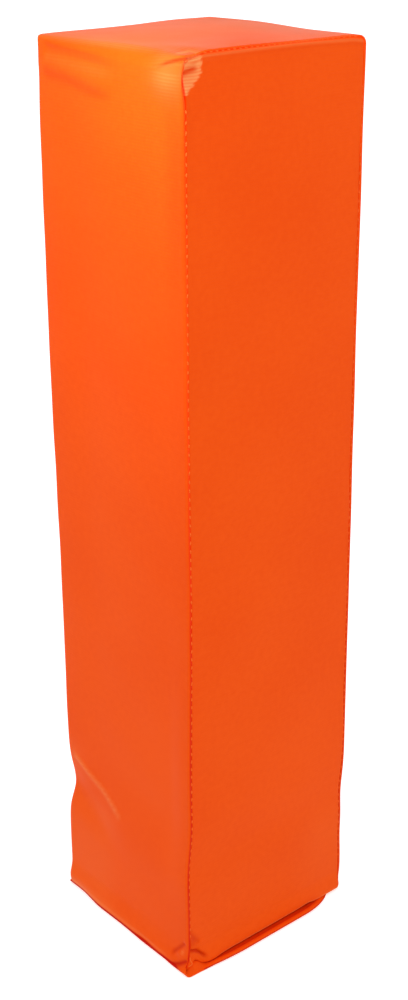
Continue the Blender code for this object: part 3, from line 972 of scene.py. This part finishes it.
def front_marks(points):
    """The patch's pale ribs, stretched cloth with a painted highlight; painted sheen; painted shade in
    creases.
    """
    x, z = points[..., 0], points[..., 2]
    below_top = (z.max(axis=0) - z) * 1000
    along_top = x > -0.042
    patch_fold = crease(x, z, PATCH_FOLD, 1, 0, 0.3)
    # the gathered patch: paler stretched cloth with a painted highlight along its ribs
    amount = 0.82 - 0.08 * fade(z, 0.4495, 0.4520) + 0.22 * bump(x, z, (-50.5, 443), 2, 3)
    amount -= 0.25 * rib_wave(x, z) * smooth(z, 0.4506, 0.4520)
    sheen_and_whitening = amount * smooth(in_patch(x, z), 0, mm(1.1)) * smooth(z, 0.431, 0.439) * (1 - 0.9 * patch_fold)
    # painted highlights under the top seam and on the hem's round edge, and painted sheen low on the right
    sheen_and_whitening += 0.26 * hump(below_top, 1.7, 0.6, 0.6) * along_top
    hem_edge = HEM_HEIGHT + hem_lift(x) + mm(0.4)
    sheen_and_whitening += 0.60 * hump(z, hem_edge, mm(0.5), mm(0.6)) * smooth(x, -0.040, -0.030)
    sheen_and_whitening += 0.03 * smooth(x, 0.010, 0.040) * fade(z, 0.045, 0.070)
    # painted shade in the patch's fold, under the top seam, in the creases and in the triangle by the seam
    deep = 0.3 * patch_fold + 0.10 * hump(below_top, 3.1, 0.6, 0.6) * along_top
    deep += creases(x, z, (0.7, FRONT_CREASE, 0.9, 0, 0.3), (0.3, FRONT_FOLD, 1.4, 0, 0.2))
    deep += 0.35 * bump(x, z, (-51, 17), 2.2, 3)
    return {"sheen_and_whitening": sheen_and_whitening, "deep": deep}


# %% Sew in the panels
for name, side, replaced in (("front_cloth", -1, "front_panel"), ("back_cloth", 1, "back_panel")):
    grid, spare, glow = panel_grid(side)
    marks = front_marks(grid) if side < 0 else {"sheen_and_whitening": 0 * glow, "deep": 0 * glow}
    # painted highlight on the gathered edges, and painted shade in the seams
    marks["sheen_and_whitening"] = np.maximum(marks["sheen_and_whitening"], 0.6 * glow * gathered(grid))
    marks["deep"] = np.maximum(marks["deep"], seam_shade(grid, glow))
    panel = lay_sheet(name, grid, glow=seam_glow(grid, glow), **marks)
    cut_away(panel, spare)
    weld(panel)
    give_thickness(panel)
    finish_piece(panel, "pylon", COVER_FINISH, [replaced])

# %% [markdown]
# ## Flap and hinge fold
#
# The flap lies on the floor and stands out past the front and back as a lip. It rides on
# its own body. The strip's cloth runs into it round a fold, and that fold is a third piece,
# which rides on neither body.


# %% Flap pattern
FLAP_JOIN = -SIDE + mm(9)
CORNER_START = FLAP_END - FLAP_CORNER[0]


def flap_reach(x, side):
    """How far the flap reaches at x, towards the front (side -1) or the back (side 1)."""
    taper = LIP_TAPER + (mm(2.2) if side > 0 else 0)
    reach = DEPTH / 2 + LIP - taper * float(smooth(-x, 0.020, SIDE))
    reach -= mm(0.9) * max(0.0, (-x - 0.0505) / 0.0025) ** 2
    round_corner = max(0.0, x - CORNER_START) / FLAP_CORNER[0]
    return reach - FLAP_CORNER[1] * (1 - math.sqrt(max(0.0, 1 - round_corner**2)))


def across_flap(x, shares):
    """y places for shares from 1 at the back rim to -1 at the front rim."""
    return shares * np.where(shares > 0, flap_reach(x, 1), flap_reach(x, -1))


def ear_lift(points):
    """The crumpled front corner at the hinge stands up off the floor."""
    x, beside = points[:, 0], -points[:, 1]
    ear = smooth(mm(54.2) - beside, 0, mm(3.8)) * smooth(beside, 0.040, 0.047)
    return mm(3.8) * ear * hump(x, mm(-49.5), mm(3.5), mm(3.4))


# the flap's columns share the cloth in the way of the strip's, so the fold joins the two
strip_y, strip_depth = (values[~IS_TURNED] for values in strip_columns(("left", 0)))
steps = np.linalg.norm(np.diff(np.column_stack([strip_y, strip_depth]), axis=0), axis=1)
SHARES = 1 - 2 * np.insert(np.cumsum(steps), 0, 0) / steps.sum()

# %% Flap
flap_x = [CORNER_START + FLAP_CORNER[0] * math.sin(angle) for angle in turn(90, 5, 16)]
flap_x += stations((CORNER_START, FLAP_JOIN + mm(9), mm(3)), (FLAP_JOIN + mm(9), FLAP_JOIN, mm(1.5)))
flap_grid, flap_shade = [], []
for x in flap_x:
    y = across_flap(x, SHARES)
    from_rim = (np.where(y > 0, y[0], -y[-1]) - np.abs(y)) * 1000
    along_lip = smooth(x, -0.045, -0.036) * fade(x, 0.030, 0.040)
    points = settle(outline(("flap", x), y, np.zeros(y.shape))[0])
    points[:, 2] += mm(0.9) * along_lip * hump(from_rim, 1.1, 1.0, 1.3) + ear_lift(points)
    flap_grid.append(points)
    # painted shadow, a deeper red, in the trough under the hem, and painted shade along the rim
    trough = 0.7 * along_lip * smooth(from_rim, 1.8, 3) * fade(from_rim, 6, 12)
    flap_shade.append(np.maximum(trough, 0.9 * fade(from_rim, 0.1, 0.5)))
flap_grid = np.array(flap_grid)
flap = lay_sheet("flap_cloth", flap_grid, deep=np.array(flap_shade))
give_thickness(flap)
rim = flap.modifiers.new("cut edge", "BEVEL")
rim.width, rim.segments = mm(0.15), 2
rim.limit_method, rim.angle_limit = "ANGLE", math.radians(60)
apply_modifier(flap, rim)
finish_piece(flap, "flap", COVER_FINISH, ["bottom_flap"])

# %% Hinge fold
fold_rows = [("flap", x) for x in stations((FLAP_JOIN, -SIDE + HINGE_FOLD, mm(1.3)))]
fold_rows += [("hinge", angle) for angle in turn(0, 90, 6)[1:]]
fold_rows += [("left", z) for z in stations((HINGE_FOLD, BASE_JOIN, mm(0.45)))[1:]]
fold_grid = []
for part, place in fold_rows:
    # the flap is spread flat, and the cloth gathers to the strip's own shape at the join above
    spread = float(fade(place, HINGE_FOLD, BASE_JOIN)) if part == "left" else 1.0
    flat_y = across_flap(place if part == "flap" else -SIDE, SHARES)
    y = strip_y + (flat_y - strip_y) * spread
    points, out = outline((part, place), y, strip_depth * (1 - spread))
    points = settle(points)
    if part == "left":
        y, z = points[:, 1].copy(), points[:, 2].copy()
        points += out * (side_relief(y, z) * smooth(z, 0.001, 0.002))[:, None]
    points[:, 2] += ear_lift(points) * spread
    fold_grid.append(points)
fold_grid = np.array(fold_grid)
fold = lay_sheet("hinge_fold", fold_grid, **side_marks(fold_grid))
give_thickness(fold)
finish_piece(fold, None, COVER_FINISH)
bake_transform(fold)

# %% [markdown]
# ## Stitches
#
# The seams are held by thread, and what shows is a short bridge of it in the groove every
# few millimetres. One stitch is a slim bead with round ends. It is modelled once, and
# copies are laid along each seam, each turned to the seam and a little off true, as a
# sewing machine leaves them. On the hinge side the seams are slack and their stitches stand
# out a little. Elsewhere they are drawn tight, so the stitches are slimmer and sink in. The
# same stitch holds the two tapes at the bottom.


# %% Copies along a line
DRAW = np.random.default_rng(12)


def frame_at(place, along_line, out):
    """A matrix at a place with its X along the line and its Z outwards."""
    x = Vector(along_line).normalized()
    z = (Vector(out) - x * x.dot(Vector(out))).normalized()
    made = Matrix((x, z.cross(x), z)).transposed().to_4x4()
    made.translation = Vector(place)
    return made


def turned(angle):
    return Matrix.Rotation(angle, 4, "Z")


def jitter(amount):
    return turned(DRAW.uniform(-amount, amount))


def copy_along(name, template, matrices):
    """One piece made of copies of a template, which is then deleted."""
    deselect()
    for matrix in matrices:
        copy = template.copy()
        copy.data = template.data.copy()
        copy.data.transform(matrix)
        bpy.context.collection.objects.link(copy)
        copy.select_set(True)
    bpy.context.view_layer.objects.active = copy
    bpy.ops.object.join()
    bpy.data.objects.remove(template)
    print(name, "has", len(matrices), "copies")
    return named(name)


def make_stitch(length, thickness):
    deselect()
    bpy.ops.mesh.primitive_uv_sphere_add(segments=6, ring_count=6, radius=0.5)
    bpy.ops.transform.resize(value=(thickness, thickness, length))
    bpy.ops.transform.rotate(value=math.pi / 2, orient_axis="Y", center_override=(0, 0, 0))
    bpy.ops.object.transform_apply(location=True, rotation=True, scale=True)
    bpy.ops.object.shade_smooth()
    return bpy.context.object


def make_thread():
    made, shader = new_finish("seam_thread", (0.97, 0.13, 0.01), 0.7, gloss=0.05)
    twist = ribs(in_object(shader), mm(0.35), "DIAGONAL", 0.3)
    feed(shader, "Base Color", mixed(twist, (0.95, 0.10, 0.01), (1.0, 0.20, 0.03)))
    raise_surface(shader, twist, mm(0.05))
    return made


THREAD = make_thread()
print("thread finished as", THREAD.name)


# %% Sew the cover's seams
STITCH = mm(1.9, 0.85)  # length and thickness
SIDE_PITCH, TOP_PITCH = mm(4.3), mm(3.2)
SLACK, TIGHT = Matrix(), Matrix.Diagonal((0.9, 0.7, 0.7, 1))


def corner_seam(side_x, side_y, z):
    """Place on one of the four upright seams."""
    seam = SEAM_SIDE - (seam_bow(z) if side_x < 0 and side_y < 0 else 0) + SEAM_GAP / 2
    loose = mm(0.35) * (float(smooth(z, 0.055, 0.090)) if side_x < 0 else 0.4)
    place = (side_x * (SIDE - seam + loose), side_y * (DEPTH / 2 - mm(0.40) + loose), z)
    return settle(np.array([place]))[0]


def top_seam(side_y, x):
    place = (x, side_y * (DEPTH / 2 - mm(0.2)), TOP - SEAM_TOP - SEAM_GAP / 2)
    return settle(np.array([place]))[0]


places = []
for side_x, pull in ((-1, SLACK), (1, TIGHT)):
    for side_y in (-1, 1):
        for z in np.arange(0.0215, 0.438, SIDE_PITCH):
            here, ahead = corner_seam(side_x, side_y, z), corner_seam(side_x, side_y, z + mm(1))
            places.append(frame_at(here, ahead - here, (side_x * 0.3, side_y, 0)) @ jitter(0.2) @ pull)
for side_y in (-1, 1):
    for x in np.arange(-0.041, 0.046, TOP_PITCH):
        here, ahead = top_seam(side_y, x), top_seam(side_y, x + mm(1))
        places.append(frame_at(here, ahead - here, (0, side_y, 0.5)) @ jitter(0.2) @ TIGHT)
stitches = copy_along("seam_stitches", make_stitch(*STITCH), places)
finish_piece(stitches, "pylon", [THREAD])

# %% [markdown]
# ## Thread end
#
# Where the corner seam ends, the last of its thread curls out over the fold. It is a short
# tail of the stitching, a few millimetres long: a curve through five places, given a round
# section and made a mesh.

# %% Thread end
TAIL = mm((-52.9, -50.9, 9.2), (-53.6, -52.0, 7.9), (-53.3, -52.9, 6.7), (-53.9, -52.6, 5.6), (-55, -52, 5))
THREAD_RADIUS = mm(0.22)
deselect()
bpy.ops.curve.primitive_bezier_curve_add(radius=0.01)
curve = bpy.context.object.data
spline = curve.splines[0]
spline.bezier_points.add(len(TAIL) - 2)
for point, place in zip(spline.bezier_points, TAIL):
    point.co = place
    point.handle_left_type = point.handle_right_type = "AUTO"
curve.resolution_u, curve.bevel_depth, curve.bevel_resolution = 4, THREAD_RADIUS, 1
curve.use_fill_caps = True
bpy.ops.object.convert(target="MESH")
tail = named("thread_end")
bpy.ops.object.shade_smooth()
finish_piece(tail, "pylon", [THREAD])

# %% [markdown]
# ## Closing tapes
#
# The hook tape is sewn to the flap and the loop tape to the underside of the tab. Up close
# one is a field of small stiff hooks in rows, and the other a tangle of soft loops, so each
# is a thin tape with hundreds of small copies on it: a hook is a third of a ring, and a loop
# is a small ring of thread, half sunk in its tape.


# %% Tapes
def make_tape(name, dark, light, threads):
    return make_woven(
        name, in_object, light, dark, light,
        threads=threads, wobble=0.2, height=mm(0.1), roughness=0.7, gloss=0.3,
    )


def add_block(middle, size):
    """A plain block at its place, in its size."""
    deselect()
    bpy.ops.mesh.primitive_cube_add(size=1, location=middle, scale=size)
    bpy.ops.object.transform_apply(location=True, rotation=True, scale=True)
    return bpy.context.object


def tape_base(solid, z_low, z_high):
    """A woven tape with round corners, over the place of its solid, and that place."""
    low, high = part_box(solid)
    size = (high[0] - low[0], high[1] - low[1], z_high - z_low)
    tape = add_block(((low[0] + high[0]) / 2, (low[1] + high[1]) / 2, (z_low + z_high) / 2), size)
    with editing():
        bpy.ops.mesh.select_all(action="DESELECT")
    for edge in tape.data.edges:
        a, b = (tape.data.vertices[i].co for i in edge.vertices)
        edge.select = abs(a.z - b.z) > 1e-6
    with editing():
        bpy.ops.mesh.select_mode(type="EDGE")
        bpy.ops.mesh.bevel(offset=mm(3), segments=5)
        bpy.ops.mesh.select_all(action="SELECT")
        bpy.ops.mesh.bevel(offset=mm(0.1), segments=2)
    bpy.ops.object.shade_smooth_by_angle(angle=math.radians(40))
    return tape, low, high


def make_ring(radius, thread, steps, sides, hook=False):
    """A small upright ring of thread, or a hook, which is about a third of one."""
    deselect()
    bpy.ops.mesh.primitive_torus_add(
        major_radius=radius, minor_radius=thread, major_segments=steps, minor_segments=sides
    )
    cuts = (((0, 0, -radius * 0.5), (0, 0, 1)), ((radius * 0.55, 0, 0), (-0.9, 0, 0.45))) if hook else ()
    with editing():
        bpy.ops.transform.rotate(value=math.pi / 2, orient_axis="X", center_override=(0, 0, 0))
        for corner, way in cuts:
            bpy.ops.mesh.select_all(action="SELECT")
            bpy.ops.mesh.bisect(plane_co=corner, plane_no=way, use_fill=True, clear_inner=True)
    return bpy.context.object


def over_tape(low, high, pitch_x, pitch_y, z, wander):
    """Places in staggered rows over a tape, each off its row by up to wander."""
    near, far = mm(1.3), mm(1.2)  # margins
    made = []
    for i, y in enumerate(np.arange(low[1] + near, high[1] - far, pitch_y)):
        for x in np.arange(low[0] + near + (i % 2) * pitch_x / 2, high[0] - far, pitch_x):
            dx, dy = DRAW.uniform(-wander, wander, 2)
            made.append((x + dx, y + dy, z))
    return made


def finish_tape(tape, fur, name, body, solid, dark, light, threads):
    """Joins a tape with its hooks or loops, and finishes the two as one piece."""
    join(tape, fur)
    named(name)
    finish_piece(tape, body, [make_tape(name, dark, light, threads)], [solid])


# %% Hook tape on the flap
tape_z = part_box("hook_strip")[0][2] - mm(0.3)
hook_tape, low, high = tape_base("hook_strip", tape_z + mm(0.02), tape_z + mm(0.42))
hooks = copy_along("hooks", make_ring(mm(0.42), mm(0.11), 8, 4, hook=True), [
    Matrix.Translation(place) @ turned(math.pi * (i % 2) + DRAW.uniform(-0.15, 0.15))
    for i, place in enumerate(over_tape(low, high, mm(1.7), mm(1.9), tape_z + mm(0.62), 0))
])
dark, light = (0.60, 0.055, 0.004), (0.85, 0.12, 0.01)
finish_tape(hook_tape, hooks, "hook_tape", "flap", "hook_strip", dark, light, mm(0.6))

# %% Loop tape on the tab
tape_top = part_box("loop_strip")[1][2] + mm(0.25)
loop_tape, low, high = tape_base("loop_strip", tape_top - mm(0.40), tape_top)
loops = copy_along("loops", make_ring(mm(0.36), mm(0.055), 9, 3), [
    Matrix.Translation(place) @ turned(DRAW.uniform(0, math.pi))
    for place in over_tape(low, high, mm(1.2), mm(1.25), tape_top - mm(0.55), mm(0.35))
])
dark, light = (0.72, 0.10, 0.01), (0.95, 0.20, 0.04)
finish_tape(loop_tape, loops, "loop_tape", "pylon", "loop_strip", dark, light, mm(0.5))


# %% Stitches round the tapes
def sew_tape(name, body, z_places):
    """Stitches round the tapes, just inside their edge, at each of these heights."""
    inset, pitch = mm(1.6), mm(2.6)
    x0, y0, x1, y1 = low[0] + inset, low[1] + inset, high[0] - inset, high[1] - inset
    made = []
    for z in z_places:
        lines = [(x, y, (1, 0, 0)) for y in (y0, y1) for x in np.arange(x0 + pitch, x1 - pitch / 2, pitch)]
        lines += [(x, y, (0, 1, 0)) for x in (x0, x1) for y in np.arange(y0 + pitch, y1 - pitch / 2, pitch)]
        made += [frame_at((x, y, z), way, (0, 0, 1)) @ jitter(0.12) for x, y, way in lines]
    finish_piece(copy_along(name, make_stitch(mm(1.8), mm(0.4)), made), body, [THREAD])


# the two tapes lie face to face, so one outline serves both
sew_tape("hook_tape_stitches", "flap", (mm(0.14), tape_z + mm(0.45)))
sew_tape("loop_tape_stitches", "pylon", (tape_top - mm(0.45), mm(4.35)))

# %% [markdown]
# ## Foam
#
# The core is a block of open-cell foam, cut a little small so the cover can go over it, with
# its edges pressed round by the cloth. It is a cube that is beveled and cut finely, and then
# settles with the cover. Its cells are a Voronoi pattern in three dimensions, so they look
# right on every side.


# %% Foam core
def make_foam():
    made, shader = new_finish("foam", (0.85, 0.83, 0.76), 0.95, gloss=0.1)
    where = in_object(shader)
    pores = cells(where, 700)
    tint = mixed(pores, (0.60, 0.57, 0.50), (0.93, 0.91, 0.85))
    feed(shader, "Base Color", mixed(scaled(noise(where, 30, 3), 0, 0.25), tint, (0.80, 0.70, 0.48)))
    raise_surface(shader, pores, mm(0.5))
    return made


def vertices_of(piece):
    made = np.zeros(len(piece.data.vertices) * 3)
    piece.data.vertices.foreach_get("co", made)
    return made.reshape(-1, 3)


def move_vertices(piece, points):
    piece.data.vertices.foreach_set("co", np.ascontiguousarray(points).ravel())
    piece.data.update()


FOAM_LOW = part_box("foam_core")[0][2]
FOAM_TOP = TOP - mm(2.0)
FOAM_ROOM = mm(5)  # the foam is smaller than the cover by this, both ways
foam_size = (WIDTH - FOAM_ROOM, DEPTH - FOAM_ROOM, FOAM_TOP - FOAM_LOW)
foam = add_block((0, 0, (FOAM_TOP + FOAM_LOW) / 2), foam_size)
named("foam_block")
with editing():
    bpy.ops.mesh.select_all(action="SELECT")
    bpy.ops.mesh.bevel(offset=mm(7), segments=5)
    bpy.ops.mesh.select_all(action="SELECT")
    bpy.ops.mesh.subdivide(number_cuts=7)
points = settle(vertices_of(foam))
uneven = mm(0.25) * slack(points[:, 0] + points[:, 1], points[:, 2], 0.02, 31)
move_vertices(foam, points + uneven[:, None] * np.array((1, 1, 0)))
pick(foam)
bpy.ops.object.shade_smooth()
finish_piece(foam, "pylon", [make_foam()], ["foam_core"])

# %% [markdown]
# ## Ballast pouch
#
# The sand is in a flat bag of two squares of canvas, sewn together round the edge. It starts
# as a full pillow, a little small. The Cloth simulation then blows it up from inside with no
# gravity, which draws the wrinkles towards the corners as the sand does. The sewn edge comes
# after that, because a seam is too thin for it.


# %% Pouch pillow
def make_canvas():
    made, shader = new_finish("pouch_canvas", (0.62, 0.57, 0.46), 0.9, gloss=0.2)
    where = in_object(shader)
    warp, weft, upright = (ribs(where, mm(0.9), way, 0.4) for way in "XYZ")
    weave = plus(plus(warp, weft), times(upright, 0.5))
    tint = mixed(scaled(weave, 0, 1, 0.3, 2.0), (0.44, 0.39, 0.29), (0.74, 0.69, 0.57))
    stain = scaled(noise(where, 25, 4), 0, 0.5, 0.4, 0.8)
    feed(shader, "Base Color", mixed(stain, tint, (0.42, 0.34, 0.22)))
    raise_surface(shader, weave, mm(0.2))
    return made


POUCH_FLOOR = mm(1.1)
POUCH_MIDDLE = np.array((0, 0, (POUCH_FLOOR + FOAM_LOW - mm(0.3)) / 2))
POUCH_HALF = np.array((*mm(47.5, 45), POUCH_MIDDLE[2] - POUCH_FLOOR))
ROOM_TO_SWELL = mm(2.0)
TAB_REACH, TAB_SIDES = mm(2, 18), mm(40, 52)


def pillow(points):
    """Points of a block or a circle, drawn to a square with very round corners, from -1 to 1."""
    return points / (np.abs(points) ** 6).sum(1, keepdims=True) ** (1 / 6)


def over_tab(points):
    """The soft underside of the pouch rides up over the closure tab, and then it settles."""
    x, y, z = points.T
    lift = TAB_HEIGHT * fade(z, 0, POUCH_MIDDLE[2]) * smooth(x, *TAB_REACH) * fade(np.abs(y), *TAB_SIDES)
    return settle(np.column_stack([x, y, z + lift]))


deselect()
bpy.ops.mesh.primitive_cube_add(size=2)
pouch = named("pouch")
with editing():
    bpy.ops.mesh.subdivide(number_cuts=23)
move_vertices(pouch, POUCH_MIDDLE + pillow(vertices_of(pouch)) * (POUCH_HALF - ROOM_TO_SWELL))
print("pouch of", len(pouch.data.vertices), "points before it is filled")

# %% Fill the pouch
SWELL_LIMIT = mm(1.6)
FILLING_FRAMES = 20
remesh = pouch.modifiers.new("cloth grid", "REMESH")
remesh.mode, remesh.voxel_size = "VOXEL", mm(4)
apply_modifier(pouch, remesh)
start = vertices_of(pouch)
cloth = pouch.modifiers.new("filling", "CLOTH")
cloth.settings.use_pressure = True
cloth.settings.uniform_pressure_force = 4
cloth.settings.effector_weights.gravity = 0
for frame_number in range(1, FILLING_FRAMES + 1):
    bpy.context.scene.frame_set(frame_number)
filled = pouch.evaluated_get(bpy.context.evaluated_depsgraph_get())
moved = vertices_of(filled) - start
far = np.linalg.norm(moved, axis=1, keepdims=True)
pouch.modifiers.remove(cloth)
bpy.context.scene.frame_set(1)
move_vertices(pouch, start + moved * np.minimum(1, SWELL_LIMIT / np.maximum(far, 1e-9)))
print("filled", len(start), "points, which moved up to", round(float(far.max()), 4), "m")
fine_cloth = pouch.modifiers.new("fine cloth", "SUBSURF")
fine_cloth.levels = fine_cloth.render_levels = 1
apply_modifier(pouch, fine_cloth)

# %% Wrinkle the pouch
points = vertices_of(pouch)
across = points - POUCH_MIDDLE
part_x, part_y, part_z = np.abs(across).T / POUCH_HALF[:, None]
near_edge = smooth(np.maximum(part_x, part_y), 0.55, 1) * fade(part_z, 0.75, 1.0)
angle = np.arctan2(across[:, 1], across[:, 0])
folds = np.sin(23 * angle + 1.5 * np.sin(3 * angle)) + 0.6 * np.sin(37 * angle + 2)
outwards = across / np.linalg.norm(across, axis=1, keepdims=True)
move_vertices(pouch, over_tab(points + outwards * (mm(0.45) * folds * near_edge)[:, None]))
pick(pouch)
bpy.ops.object.shade_smooth()

# %% Sew the pouch's edge
EDGE_INSIDE, EDGE_OUTSIDE = mm(2), mm(1.6)
deselect()
bpy.ops.mesh.primitive_circle_add(vertices=120, radius=1)
flange = named("pouch_flange")
with editing():
    bpy.ops.mesh.select_all(action="SELECT")
    bpy.ops.mesh.extrude_edges_move(TRANSFORM_OT_translate={"value": (0, 0, 0)})
circle = vertices_of(flange)
is_inside = np.arange(len(circle)) < len(circle) // 2
reach = np.where(is_inside, -EDGE_INSIDE, EDGE_OUTSIDE)[:, None]
points = POUCH_MIDDLE + pillow(circle) * (POUCH_HALF + reach)
points[:, 2] += mm(0.5) * np.sin(29 * np.arctan2(circle[:, 1], circle[:, 0]))
move_vertices(flange, over_tab(points))
weld(flange)
give_thickness(flange, mm(0.9))
join(pouch, flange)
finish_piece(pouch, "pylon", [make_canvas()], ["ballast_pouch_top", "ballast_pouch_bottom"])

# %% [markdown]
# ## Sand
#
# The sand is never seen while the pouch is closed, so it keeps its solid from the packed
# model, with a grainy finish in case the pouch is opened.


# %% Sand
def make_sand():
    made, shader = new_finish("sand", (0.55, 0.42, 0.25), 0.95, gloss=0.3)
    where = in_object(shader)
    feed(shader, "Base Color", mixed(noise(where, 600, 2), (0.35, 0.24, 0.12), (0.80, 0.68, 0.46)))
    raise_surface(shader, cells(where, 900), mm(0.4))
    return made


sand = bpy.data.objects["sand_fill"]
sand.data.materials.clear()
sand.data.materials.append(make_sand())
print("sand finished as", sand.data.materials[0].name)

# %% [markdown]
# ## Floor, light and camera
#
# The pylon stands on a plain white sweep under an even white sky. Three soft lights do the
# rest: a small key light near the upper left fades down the hinge side, a fill lights the
# corner of the front, and a wide one behind puts the sheen on the top. The camera stands
# where the photographer's stood.

# %% Floor and sky
deselect()
bpy.ops.mesh.primitive_plane_add(size=16, location=(0, 0, -0.0004))
floor = bpy.context.object
floor.name = "pylon_floor"
white, white_shader = new_finish("white_sweep", (0.85, 0.85, 0.85), 0.9, gloss=0.2)
feed(white_shader, "Emission Color", (1, 1, 1))
feed(white_shader, "Emission Strength", 0.55)
floor.visible_diffuse = False
floor.data.materials.append(white)

world = bpy.data.worlds.new("studio")
bpy.context.scene.world = world
world.use_nodes = True
sky = world.node_tree.nodes["Background"]
feed(sky, "Color", (1, 1, 1))
feed(sky, "Strength", 0.865)


# %% Lights
def look(direction):
    """The turn of a light or a camera that looks this way."""
    return Vector(direction).to_track_quat("-Z", "Y")


def add_light(name, location, target, power, size):
    bpy.ops.object.light_add(type="AREA", location=location)
    light = bpy.context.object
    light.name = name
    light.data.energy = power
    light.data.size = size
    light.visible_camera = False
    light.rotation_euler = look(Vector(target) - Vector(location)).to_euler()
    print(name, "light of", power, "W")


add_light("key", (-0.160, -0.034, 0.500), (-0.053, -0.034, 0.445), 0.25, 0.05)
add_light("fill", (-0.17, -0.42, 0.60), (-0.04, -0.05, 0.42), 0.27, 0.3)
add_light("back", (0.72, 0.84, 0.93), (0, 0, 0.457), 0.29, 0.9)

# %% Camera
CAMERA_PLACE = (-0.4744, -0.5512, 0.5388)
CAMERA_LOOK = (0.6024, 0.6974, -0.3882)
CAMERA_ROLL = math.radians(-0.25)
bpy.ops.object.camera_add(location=CAMERA_PLACE)
camera = bpy.context.object
camera.rotation_euler = (look(CAMERA_LOOK).to_matrix() @ Matrix.Rotation(CAMERA_ROLL, 3, "Z")).to_euler()
camera.data.sensor_width = 36
camera.data.lens = 56.83
bpy.context.scene.camera = camera
bpy.context.scene.view_settings.view_transform = "Standard"
print("camera", round((Vector(CAMERA_PLACE) - Vector((0, 0, HEIGHT / 2))).length, 3), "m from the middle")
